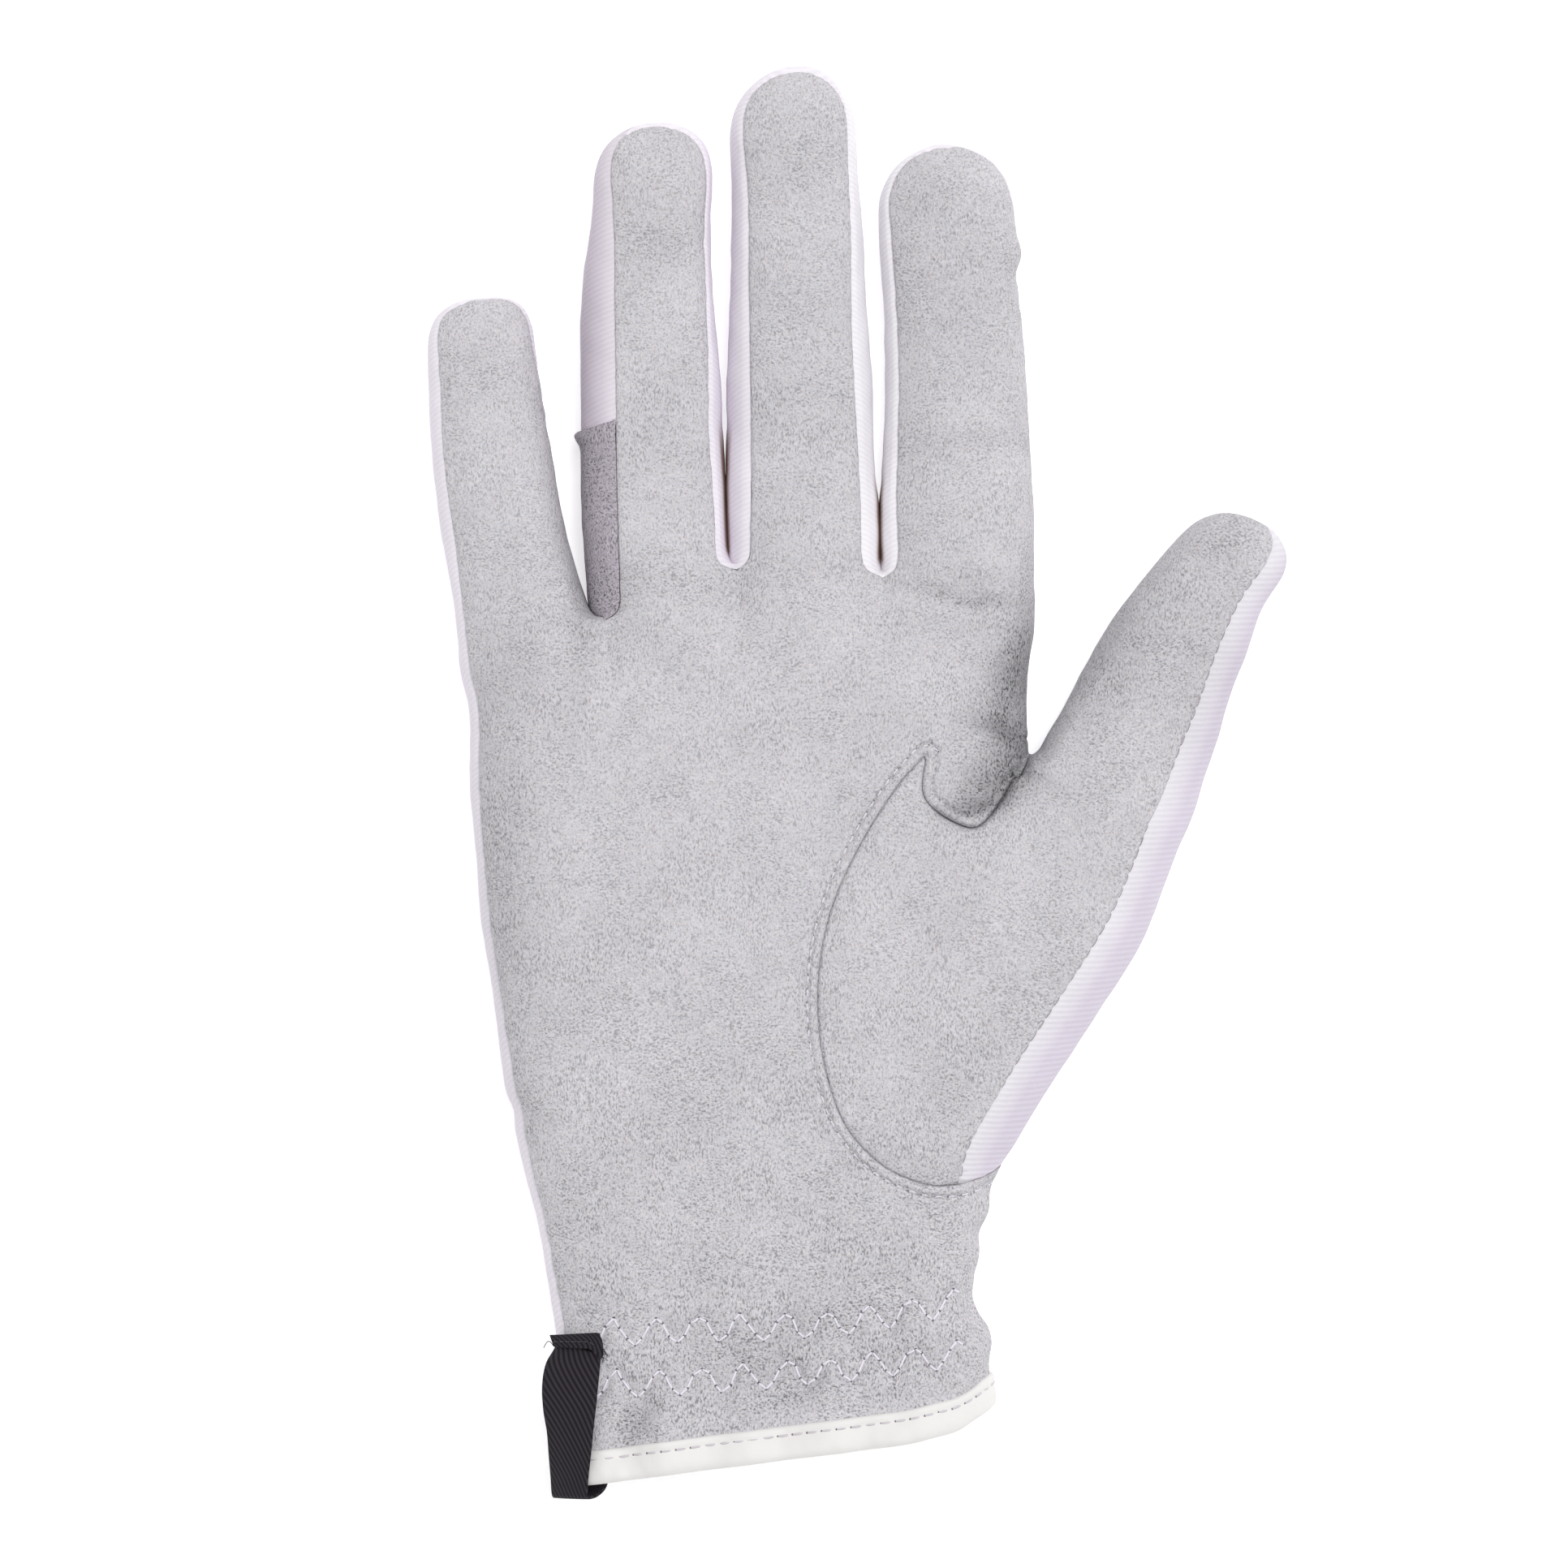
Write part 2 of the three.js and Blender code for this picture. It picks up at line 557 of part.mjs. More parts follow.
// Keeps the walls of two neighbouring digits clear of each other, on either side of the middle of the slot.
function clearSlot(leftRows, rightRows) {
  const edgeAt = (rows, y) => {
    const line = rows.map((row) => row[0]);
    let i = 0;
    while (i < line.length - 2 && y > line[i + 1].y) i++;
    const t = clamp((y - line[i].y) / Math.max(line[i + 1].y - line[i].y, 1e-6), 0, 1);
    return mix(line[i].x, line[i + 1].x, t);
  };
  const top = Math.min(leftRows.at(-1)[0].y, rightRows.at(-1)[0].y);
  const limit = (rows, sign) => {
    for (const row of rows) {
      for (const p of row.slice(1, -1)) {
        if (p.y > top) continue;
        const middle = (edgeAt(leftRows, p.y) + edgeAt(rightRows, p.y)) / 2;
        const most = middle - (sign * fingerClearance) / 2;
        p.x = sign > 0 ? Math.min(p.x, most) : Math.max(p.x, most);
      }
    }
  };
  limit(leftRows, 1);
  limit(rightRows, -1);
}

// The wall's row at the bottom of a slot, which closes the round end.
function crotchRow(number) {
  const strip = strips[number + (number === 3 ? 1 : 0)];
  const row = number === 3 ? palmRows.length : handRows.length - 1;
  const column = number === 3 ? 0 : -1;
  const top = strip.top[row].at(column);
  const bottom = strip.bottom[row].at(column);
  const thickness = number === 3 ? handThickness(thumbCrotch) : handThickness(1);
  const out = number === 3 ? thumbCrotchFacing : new THREE.Vector2(0, 1);
  return edgeRow(top, bottom, out, number === 3 ? shoulderInset : crotchReach, equatorShare * thickness);
}

const slots = [0, 1, 2, 3].map((number) => {
  const left = wallRows(strips[number].rightEdge);
  const right = wallRows(strips[number + 1].leftEdge);
  clearSlot(left, right);
  return { left, crotch: wallRows([crotchRow(number)]), right };
});
const outerWall = wallRows(strips[0].leftEdge);
const thumbWall = wallRows(strips[4].rightEdge);

// Quads of a grid of points, as lists of corners that run anticlockwise seen from outside the glove.
function quads(rows, flip = false) {
  const faces = [];
  for (let r = 0; r + 1 < rows.length; r++) {
    for (let c = 0; c + 1 < rows[r].length; c++) {
      const face = [rows[r][c], rows[r][c + 1], rows[r + 1][c + 1], rows[r + 1][c]];
      faces.push(flip ? face.reverse() : face);
    }
  }
  return faces;
}

// Faces of the whole surface, by the part of the glove that they belong to.
const slotFaces = slots.map(({ left, crotch, right }) => ({
  left: quads([...crotch, ...left], false),
  right: quads([...crotch, ...right], true),
}));
const surface = {
  top: strips.map((strip) => quads(strip.top)),
  bottom: strips.map((strip) => quads(strip.bottom, true)),
  outerWall: quads(outerWall, true),
  thumbWall: quads(thumbWall),
};

// Corners are shared through a key of their place, and each has one outward normal for all panels that
// meet there.
const keyOf = (p) => [p.x, p.y, p.z].map((v) => Math.round(v * 1000)).join();
const normals = new Map();
const allFaces = [
  ...surface.top.flat(),
  ...surface.bottom.flat(),
  ...surface.outerWall,
  ...surface.thumbWall,
  ...slotFaces.flatMap(({ left, right }) => [...left, ...right]),
];
for (const face of allFaces) {
  const across = face[2].clone().sub(face[0]);
  const normal = across.cross(face[3].clone().sub(face[1]));
  for (const corner of face) {
    const key = keyOf(corner);
    if (!normals.has(key)) normals.set(key, new THREE.Vector3());
    normals.get(key).add(normal);
  }
}
for (const normal of normals.values()) normal.normalize();

// Triangles of a face, without those that have collapsed at a tip.
function triangles(face) {
  const [a, b, c, d] = face.map(keyOf);
  return [
    [a, b, c],
    [a, c, d],
  ].filter(([p, q, r]) => p !== q && q !== r && r !== p);
}

// A closed solid of the given wall from faces of the surface, drawn back from its neighbours by half a
// seam.
function clothSolid(faces, wall) {
  const places = new Map();
  for (const face of faces) for (const corner of face) places.set(keyOf(corner), corner);
  const tris = faces.flatMap(triangles);
  const edges = new Map();
  for (const tri of tris) {
    tri.forEach((a, i) => {
      const b = tri[(i + 1) % 3];
      edges.set(a + ";" + b, [a, b]);
    });
  }
  const border = [...edges.values()].filter(([a, b]) => !edges.has(b + ";" + a));
  const onBorder = new Set(border.flat());
  const pulls = new Map([...onBorder].map((key) => [key, []]));
  for (const [a, b] of border) {
    const along = places.get(b).clone().sub(places.get(a));
    for (const key of [a, b]) pulls.get(key).push(normals.get(key).clone().cross(along).normalize());
  }
  const pullOf = (key) => {
    const [first, second] = pulls.get(key);
    const mitre = Math.max(1 + first.dot(second), 0.5);
    return first.clone().add(second).multiplyScalar(seamGap / 2 / mitre);
  };
  const ids = new Map([...places.keys()].map((key, i) => [key, i]));
  const positions = [];
  for (const inner of [0, 1]) {
    for (const [key, place] of places) {
      const p = place.clone();
      if (onBorder.has(key)) p.add(pullOf(key));
      if (inner) p.addScaledVector(normals.get(key), -wall);
      p.z = Math.max(p.z, 0);
      positions.push(p.x, p.y, p.z);
    }
  }
  const count = ids.size;
  const indices = [];
  for (const tri of tris) {
    const [a, b, c] = tri.map((key) => ids.get(key));
    indices.push(a, b, c, a + count, c + count, b + count);
  }
  for (const [keyA, keyB] of border) {
    const [a, b] = [ids.get(keyA), ids.get(keyB)];
    indices.push(b, a, a + count, b, a + count, b + count);
  }
  const geometry = new THREE.BufferGeometry();
  geometry.setAttribute("position", new THREE.Float32BufferAttribute(positions, 3));
  geometry.setIndex(indices);
  return geometry;
}

const wasm = await Module();
wasm.setup();

const toManifold = (geometry) =>
  new wasm.Manifold(
    new wasm.Mesh({
      numProp: 3,
      vertProperties: new Float32Array(geometry.getAttribute("position").array),
      triVerts: new Uint32Array(geometry.index.array),
    }),
  );

function fromManifold(solid) {
  const mesh = solid.getMesh();
  const positions = new Float32Array(mesh.numVert * 3);
  for (let i = 0; i < mesh.numVert; i++) {
    positions.set(mesh.vertProperties.subarray(i * mesh.numProp, i * mesh.numProp + 3), i * 3);
  }
  const geometry = new THREE.BufferGeometry();
  geometry.setAttribute("position", new THREE.BufferAttribute(positions, 3));
  geometry.setIndex(new THREE.BufferAttribute(new Uint32Array(mesh.triVerts), 1));
  return geometry;
}

// Outline of the thumb hole in plan, closed round the outside of the thumb, grown or shrunk by an offset.
function thumbHole(offset) {
  const seam = thumbSeam.map(
    ({ across, along }) => new THREE.Vector2(across * palmWidth, along * palmLength),
  );
  const indexEdge = slots[3].left.map((row) => row[0]);
  const slotLine = strips[4].leftEdge.map(({ top }) => {
    const nearer = (a, b) => (Math.abs(a.y - top.y) < Math.abs(b.y - top.y) ? a : b);
    return new THREE.Vector2((top.x + indexEdge.reduce(nearer).x) / 2, top.y);
  });
  const tip = strips[4].top.at(-1)[0];
  const margin = palmWidth / 3;
  const far = tip.x + margin;
  const mound = new THREE.SplineCurve(seam.slice(spikePoint)).getPoints(moundSteps);
  const tongue = new THREE.SplineCurve(seam.slice(0, spikePoint + 1)).getPoints(tongueSteps).slice(0, -1);
  const outside = [
    new THREE.Vector2(far, mound.at(-1).y),
    new THREE.Vector2(far, tip.y + margin),
    new THREE.Vector2(slotLine.at(-1).x, tip.y + margin),
    ...slotLine.slice(2).reverse(),
  ];
  const loop = [...tongue, ...mound, ...outside];
  return new THREE.Shape(
    loop.map((point, i) => {
      const before = loop[(i + loop.length - 1) % loop.length];
      const after = loop[(i + 1) % loop.length];
      const along = after.clone().sub(before).normalize();
      return new THREE.Vector2(point.x + along.y * offset, point.y - along.x * offset);
    }),
  );
}

function holePrism(offset) {
  const depth = 4 * palmThickness;
  const geometry = new THREE.ExtrudeGeometry(thumbHole(offset), { depth, bevelEnabled: false });
  geometry.translate(0, 0, -depth / 2);
  return toManifold(weld(geometry));
}

// Joins the equal corners of a three.js geometry, which a solid needs.
function weld(geometry) {
  const source = geometry.index ? geometry.toNonIndexed() : geometry;
  const place = source.getAttribute("position");
  const seen = new Map();
  const positions = [];
  const indices = [];
  for (let i = 0; i < place.count; i++) {
    const p = new THREE.Vector3().fromBufferAttribute(place, i);
    const key = keyOf(p);
    if (!seen.has(key)) {
      seen.set(key, positions.length / 3);
      positions.push(p.x, p.y, p.z);
    }
    indices.push(seen.get(key));
  }
  const welded = new THREE.BufferGeometry();
  welded.setAttribute("position", new THREE.Float32BufferAttribute(positions, 3));
  welded.setIndex(indices);
  return welded;
}

// Suede: the palm with the finger fronts, the sides of the index and little fingers, and the thumb side
// of the wrist.
const suedeFaces = [
  ...surface.top.flat(),
  ...slotFaces[0].left,
  ...slotFaces[3].left,
  ...slotFaces[3].right,
];
const thumbSideFaces = [...surface.thumbWall, ...surface.bottom[4]];
const outsideHole = holePrism(seamGap / 2);
const insideHole = holePrism(-seamGap / 2);
const palmSolid = toManifold(clothSolid([...suedeFaces, ...thumbSideFaces], suedeWall)).subtract(outsideHole);
const thumbFrontSolid = toManifold(clothSolid(suedeFaces, suedeWall)).intersect(insideHole);
const thumbBackSolid = toManifold(clothSolid(thumbSideFaces, twillWall)).intersect(insideHole);

const largestBody = (solid) =>
  solid.decompose().reduce((best, body) => (body.volume() > best.volume() ? body : best));

// Twill: the back with the strip beside the little finger, and the sides of the fingers.
const backFaces = [...surface.bottom.slice(0, 4).flat(), ...surface.outerWall];
const ringWall = slots[0].right;
const patchFaces = quads([...slots[0].crotch, ...ringWall.slice(0, patchRows)], true);
const ringSideFaces = quads(ringWall.slice(patchRows - 1), true);

// A solid from rows of points, each a loop round its section. Either the rows close on themselves, or
// the two ends are capped between opposite corners of the loop.
function loopSolid(rows, closed) {
  const size = rows[0].length;
  const indices = [];
  const last = closed ? rows.length : rows.length - 1;
  for (let i = 0; i < last; i++) {
    const next = (i + 1) % rows.length;
    for (let k = 0; k < size; k++) {
      const [a, b] = [i * size + k, i * size + ((k + 1) % size)];
      const [c, d] = [next * size + ((k + 1) % size), next * size + k];
      indices.push(a, b, c, a, c, d);
    }
  }
  for (let k = 0; !closed && k + 1 < size / 2; k++) {
    const end = (rows.length - 1) * size;
    const [a, b, c, d] = [k, k + 1, size - 2 - k, size - 1 - k];
    indices.push(a, c, b, a, d, c, end + a, end + b, end + c, end + a, end + c, end + d);
  }
  const geometry = new THREE.BufferGeometry();
  const positions = rows.flat().flatMap((p) => p.toArray());
  geometry.setAttribute("position", new THREE.Float32BufferAttribute(positions, 3));
  geometry.setIndex(indices);
  return geometry;
}

// Hem binding: a channel folded over the hem, all the way round.
function bindingGeometry() {
  const backwards = (line) => [...line].reverse().slice(0, -1);
  const hemRow = (row) => [
    ...strips.flatMap((strip, i) => strip.top[row].slice(i ? 1 : 0)),
    ...thumbWall[row].slice(1, -1),
    ...[...strips].reverse().flatMap((strip) => backwards(strip.bottom[row])),
    ...backwards(outerWall[row]),
  ];
  const [hem, above] = [hemRow(0), hemRow(1)];
  const [outer, inner] = [seamGap, -suedeWall - seamGap];
  const profile = [
    [outer + bindingWall, bindingHeight],
    [outer + bindingWall, -seamGap - bindingWall],
    [inner - bindingWall, -seamGap - bindingWall],
    [inner - bindingWall, bindingHeight],
    [inner, bindingHeight],
    [inner, -seamGap],
    [outer, -seamGap],
    [outer, bindingHeight],
  ];
  const rows = hem.map((corner, i) => {
    const normal = normals.get(keyOf(corner)).clone().setY(0).normalize();
    const upwards = above[i].clone().sub(corner).normalize();
    return profile.map(([out, up]) =>
      corner.clone().addScaledVector(normal, out).addScaledVector(upwards, up),
    );
  });
  return loopSolid(rows, true);
}

// Place beside the cuff's palm-side corner on the little finger's side: up along the cuff from the hem,
// across it towards the palm, and off its outer face.
const cuffLines = strips[0].top.slice(0, cuffRows).map((row, i) => {
  const line = [...outerWall[i].slice(1).reverse(), ...row];
  const corner = outerWall[i].length - 1;
  const lengths = [0];
  for (let k = 1; k < line.length; k++) lengths.push(lengths[k - 1] + line[k].distanceTo(line[k - 1]));
  const height = row[0].y - strips[0].top[0][0].y;
  return { line, lengths: lengths.map((length) => length - lengths[corner]), height };
});

function onCuffLine({ line, lengths }, across) {
  let k = 0;
  while (k < line.length - 2 && across > lengths[k + 1]) k++;
  return line[k].clone().lerp(line[k + 1], (across - lengths[k]) / (lengths[k + 1] - lengths[k]));
}

function besideCuff(up, across, off) {
  let i = 0;
  while (i < cuffLines.length - 2 && up > cuffLines[i + 1].height) i++;
  const [below, above] = [cuffLines[i], cuffLines[i + 1]];
  const share = clamp((up - below.height) / (above.height - below.height), 0, 1);
  const at = (place) => onCuffLine(below, place).lerp(onCuffLine(above, place), share);
  const step = labelWidth / labelColumns / 2;
  const along = at(across + step).sub(at(across - step)).setY(0).normalize();
  const outwards = new THREE.Vector3(-along.z, 0, along.x);
  const point = at(across).addScaledVector(outwards, off);
  point.y += Math.min(up, 0);
  return point;
}

// Woven label: a ribbon that lies on the outside of the cuff, turns under the hem and goes back up inside.
function labelGeometry() {
  const outside = seamGap + bindingWall + labelGap + labelWall / 2;
  const inside = -suedeWall - outside;
  const turnRadius = (outside - inside) / 2;
  const low = -seamGap - bindingWall - labelDrop;
  const route = labelCourse.map(({ up, lean }) => ({
    up: labelLength * up,
    off: outside,
    shift: -labelLean * lean,
  }));
  for (let i = 0; i <= labelTurnSteps; i++) {
    const angle = (Math.PI * i) / labelTurnSteps;
    route.push({
      up: Math.sin(angle) * low,
      off: (outside + inside) / 2 + Math.cos(angle) * turnRadius,
      shift: (labelTurnShift * i) / labelTurnSteps - labelLean,
    });
  }
  for (const up of [labelReturn / 2, labelReturn]) {
    route.push({ up, off: inside, shift: labelTurnShift - labelLean });
  }
  const rows = route.map(({ up, off, shift }, i) => {
    const [ahead, behind] = [route[Math.min(i + 1, route.length - 1)], route[Math.max(i - 1, 0)]];
    const turn = Math.atan2(behind.up - ahead.up, behind.off - ahead.off) - Math.PI / 2;
    return Array.from({ length: labelColumns + 1 }, (_, column) => {
      const across = labelOffset + shift + labelWidth * (column / labelColumns - 0.5);
      const half = labelWall / 2;
      return [-half, half].map((side) =>
        besideCuff(up + side * Math.sin(turn), across, off + side * Math.cos(turn)),
      );
    });
  });
  const grid = rows.map((row) => [...row.map(([face]) => face), ...row.map(([, back]) => back).reverse()]);
  return loopSolid(grid, false);
}

// Materials
const cloth = (color, roughness) => new THREE.MeshStandardMaterial({ color, roughness, metalness: 0 });
const greySuede = cloth(0xbfbfc3, 0.95);
const patchSuede = cloth(0xa09fa6, 0.95);
const whiteTwill = cloth(0xe4deea, 0.6);
const whiteBinding = cloth(0xf4f2ee, 0.45);
const blackRibbon = cloth(0x1b1b1e, 0.7);

// The glove, with its origin on the table under the middle of its outline.
const glove = new THREE.Group();
function addPiece(name, geometry, material) {
  const mesh = new THREE.Mesh(geometry, material);
  mesh.name = name;
  glove.add(mesh);
}
addPiece("palm_panel", fromManifold(largestBody(palmSolid)), greySuede);
addPiece("thumb_panel", fromManifold(largestBody(thumbFrontSolid)), greySuede);
addPiece("thumb_back", fromManifold(largestBody(thumbBackSolid)), whiteTwill);
addPiece("back_panel", clothSolid(backFaces, twillWall), whiteTwill);
addPiece("fourchette_little_ring", clothSolid(ringSideFaces, twillWall), whiteTwill);
addPiece("finger_patch", clothSolid(patchFaces, twillWall), patchSuede);
const slotCloth = (slot) => clothSolid([...slotFaces[slot].left, ...slotFaces[slot].right], twillWall);
addPiece("fourchette_ring_middle", slotCloth(1), whiteTwill);
addPiece("fourchette_middle_index", slotCloth(2), whiteTwill);
addPiece("cuff_binding", bindingGeometry(), whiteBinding);
addPiece("side_label", labelGeometry(), blackRibbon);

const extent = new THREE.Box3().setFromObject(glove);
const centre = extent.getCenter(new THREE.Vector3());
glove.position.set(-centre.x, -centre.y, -extent.min.z);

export default glove;
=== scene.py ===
"""A right-hand riding glove on its back: fine cloth panels, seams, stitches, binding and label."""

import json
import math

import bpy
import numpy as np
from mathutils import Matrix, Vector
from mathutils.bvhtree import BVHTree

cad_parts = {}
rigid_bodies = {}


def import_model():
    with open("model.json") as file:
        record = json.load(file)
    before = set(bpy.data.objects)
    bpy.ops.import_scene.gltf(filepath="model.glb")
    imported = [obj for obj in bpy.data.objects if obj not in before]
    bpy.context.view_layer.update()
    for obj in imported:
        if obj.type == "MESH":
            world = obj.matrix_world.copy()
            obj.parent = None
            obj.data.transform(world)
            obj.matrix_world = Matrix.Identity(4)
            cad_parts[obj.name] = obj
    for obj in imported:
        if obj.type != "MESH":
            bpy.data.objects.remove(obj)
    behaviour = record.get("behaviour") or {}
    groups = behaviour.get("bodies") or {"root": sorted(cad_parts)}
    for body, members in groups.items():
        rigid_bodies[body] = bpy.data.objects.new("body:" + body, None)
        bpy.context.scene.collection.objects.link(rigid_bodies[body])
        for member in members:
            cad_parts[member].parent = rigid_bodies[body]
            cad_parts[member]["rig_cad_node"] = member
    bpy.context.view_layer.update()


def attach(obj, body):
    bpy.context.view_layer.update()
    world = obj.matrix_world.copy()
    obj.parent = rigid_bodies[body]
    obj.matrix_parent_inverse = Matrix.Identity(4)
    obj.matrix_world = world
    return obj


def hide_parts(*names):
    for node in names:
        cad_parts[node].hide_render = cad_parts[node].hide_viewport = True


for old in list(bpy.data.objects):
    bpy.data.objects.remove(old)
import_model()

MM = 0.001

# The hand's shape, with the same named sizes as the solid part. Lengths are millimetres.
PALM_WIDTH = 94.9
PALM_LENGTH = 140.0
PALM_THICKNESS = 23.0
KNUCKLE_THICKNESS = 19.0
WRIST_THICKNESS = 19.0
HEM_THICKNESS = 21.0
HEM_SLANT = 8.8
HEM_CURL = 4.0
SIDE_ROUNDING = 13.0
TABLE_SAG = 0.9
GATHER_DEPTH = 0.45
GATHER_COUNT = 7
HEM_LIFT = 1.1
# Least heights above the table: of the plain surface, the finished cloth and the small things sewn on
PLAIN_GAP, CLOTH_GAP, THREAD_GAP = 0.05, 0.03, 0.02
ORIGIN = np.array([18.166, 110.013, 0.0])

THUMB_CROTCH = 0.8
KNUCKLE_RISE = [-0.034, -0.024, 0.038, 0.029, -0.002]
OUTER_INSET = 1.5
SHOULDER_INSET = 2.5
CROTCH_RADIUS = 2.0
THUMB_CROTCH_RADIUS = 4.0
THUMB_CROTCH_LEAD = np.array([0.7, 2.3])
THUMB_CROTCH_BLEND = 5.0
CROTCH_REACH = 1.1
CROTCH_DIP = 0.06
CROTCH_DIP_RADIUS = 9.0
VALLEY_DEPTH = 0.22
VALLEY_START = 0.86
# Gap between the walls of neighbouring digits; a negative one presses them together
SLOT_GAPS = [-0.5, -0.7, -0.7, 0.1]
# Heights in plan below which the sides of neighbouring digits touch
TOUCH_UP_TO = [31.0, 60.0, 52.0, -200.0]
TOP_POWER = 2.5
BACK_POWER = 3.0
BACK_SHARE = 0.78
EQUATOR = 0.46


def table(columns, rows):
    return {name: np.array([row[i] for row in rows], float) for i, name in enumerate(columns.split())}


# Digits: pitch and width as shares of PALM_WIDTH, length of PALM_LENGTH, thickness of PALM_THICKNESS,
# the lean to the right in degrees, the tip's lift in millimetres and the exponent of the tip's outline.
DIGIT_COLUMNS = "pitch width length thickness lean curl square"
DIGIT_ROWS = [
    [0.2592, 0.22, 0.386, 0.63, -9.4, 2.5, 3], [0.2255, 0.2445, 0.553, 0.674, -1.9, 2.5, 2.2],
    [0.2529, 0.2592, 0.594, 0.696, -1.6, 2.5, 2], [0.2624, 0.2655, 0.523, 0.674, -1.3, 2.5, 2.1],
    [0, 0.294, 0.3815, 0.739, 28.1, 4, 2.4],
]
SECTION_COLUMNS = "along shift half seam_left seam_right"
SECTION_ROWS = [
    [
        [0.0, -0.05, 0.54, 0.8, 0.8], [0.22, -0.09, 0.5, 0.79, 0.8], [0.53, -0.094, 0.465, 0.78, 0.8],
        [0.82, -0.048, 0.43, 0.79, 0.8], [1.0, 0.0, 0.4, 0.84, 0.84],
    ],
    [
        [0.0, -0.1, 0.5, 0.5, 0.87], [0.2, -0.104, 0.508, 0.48, 0.87], [0.4, -0.096, 0.49, 0.5, 0.85],
        [0.7, -0.078, 0.452, 0.53, 0.92], [0.87, -0.038, 0.43, 0.68, 0.93], [1.0, 0.0, 0.42, 0.8, 0.92],
    ],
    [
        [0.0, -0.033, 0.5, 0.74, 0.8], [0.2, -0.03, 0.5, 0.7, 0.78], [0.45, -0.022, 0.475, 0.71, 0.77],
        [0.75, -0.022, 0.432, 0.76, 0.86], [0.9, -0.018, 0.418, 0.83, 0.9], [1.0, 0.0, 0.41, 0.86, 0.9],
    ],
    [
        [0.0, 0.004, 0.504, 0.82, 0.8], [0.25, 0.006, 0.5, 0.8, 0.8], [0.5, 0.008, 0.455, 0.83, 0.8],
        [0.75, -0.006, 0.458, 0.83, 0.8], [0.9, -0.026, 0.44, 0.87, 0.82], [1.0, -0.01, 0.42, 0.88, 0.84],
    ],
    [
        [0.0, -0.004, 0.5, 0.8, 0.53], [0.38, -0.036, 0.45, 0.8, 0.55], [0.58, -0.064, 0.397, 0.8, 0.55],
        [0.77, -0.057, 0.34, 0.8, 0.56], [0.88, -0.02, 0.33, 0.8, 0.57], [1.0, 0.01, 0.33, 0.82, 0.6],
    ],
]
HAND = table("along left web right seam drop", [
    [0.0, -0.312, 0.299, 0.418, 0.8, 0.0], [0.086, -0.319, 0.288, 0.423, 0.8, 0.0],
    [0.171, -0.332, 0.268, 0.394, 0.8, 0.0], [0.257, -0.36, 0.271, 0.412, 0.72, 0.0],
    [0.343, -0.389, 0.293, 0.444, 0.55, 0.0], [0.429, -0.416, 0.327, 0.528, 0.56, -0.003],
    [0.543, -0.444, 0.38, 0.612, 0.65, -0.029], [0.657, -0.461, 0.43, 0.69, 0.72, -0.057],
    [0.743, -0.475, 0.466, 0.728, 0.75, -0.081], [0.8, -0.479, 0.484, 0.752, 0.766, -0.09],
    [0.886, -0.481, 0.49, 0.79, 0.766, -0.09], [0.943, -0.495, 0.492, 0.79, 0.766, -0.09],
    [1.0, -0.505, 0.499, 0.79, 0.766, -0.09],
])
# Seam of the thumb hole, as shares of PALM_WIDTH and PALM_LENGTH.
THUMB_SEAM = table("across along", [
    [0.486, 0.812], [0.449, 0.775], [0.41, 0.74], [0.381, 0.733], [0.327, 0.752], [0.304, 0.775],
    [0.311, 0.819], [0.257, 0.778], [0.193, 0.709], [0.144, 0.633], [0.123, 0.552], [0.13, 0.467],
    [0.165, 0.39], [0.222, 0.343], [0.285, 0.319], [0.349, 0.312], [0.419, 0.326], [0.485, 0.371],
])
SPIKE = 6
# Folds of the palm side in the part's own frame: middle, direction from +X in degrees, length, width, depth.
# A negative depth is a ridge.
FOLDS = table("x y turn length width depth", [
    [12.6, 31.2, -17, 10, 1.2, 0.7], [21.2, 29.6, 0, 9, 1.1, 0.8], [16.0, 34.2, -6, 17, 2.4, -0.35],
    [21.1, 36.4, 2, 8, 1.4, 0.25], [17.5, 58.7, 5, 16, 3.0, -0.3], [15.6, 54.3, 6, 17, 1.8, 0.4],
    [25.9, 14.0, -80, 16, 4.6, 1.8], [22.0, -0.5, 15, 11, 4.5, 1.6], [24.2, 6.2, -20, 9, 1.1, -0.7],
    [-10.1, 63.0, -4, 16, 2.0, 0.35], [-12.0, 47.4, 5, 17, 2.2, 0.4], [-8.3, 34.6, -4, 12, 2.0, 0.45],
    [-32.0, 57.5, 3, 14, 2.0, 0.35], [-32.3, 88.7, 0, 12, 2.5, 0.25], [-23.0, 32.6, 6, 22, 3.6, 0.5],
    [-50.7, 19.8, 14, 18, 4.5, -0.5], [-54.3, 15.7, 16, 15, 1.5, 0.35], [-58.5, 61.0, -8, 12, 2.0, 0.2],
    [-57.8, 44.0, -10, 13, 2.0, 0.25], [-36.9, -105.0, 55, 12, 1.7, 1.1],
    [-31.0, -103.0, 62, 11, 1.9, -0.6], [-24.0, -94.5, 4, 14, 1.8, 0.5],
    [-12.0, -102.0, 78, 10, 2.4, 0.8], [-4.0, -93.0, 8, 12, 1.8, 0.45], [2.0, -99.0, 85, 9, 2.2, -0.55],
    [12.0, -96.0, 95, 9, 2.2, 0.7], [-40.0, -86.0, 30, 12, 2.2, 0.5], [10.0, -84.0, -12, 13, 2.0, 0.5],
    [-30.0, -80.0, 10, 26, 5.0, 0.4], [5.0, -74.0, 8, 20, 5.0, 0.35], [-48.0, -38.0, 55, 24, 5.0, 0.4],
    [40.0, 20.0, 62, 26, 5.0, 0.5], [58.0, 34.0, 20, 10, 3.0, 0.4],
])

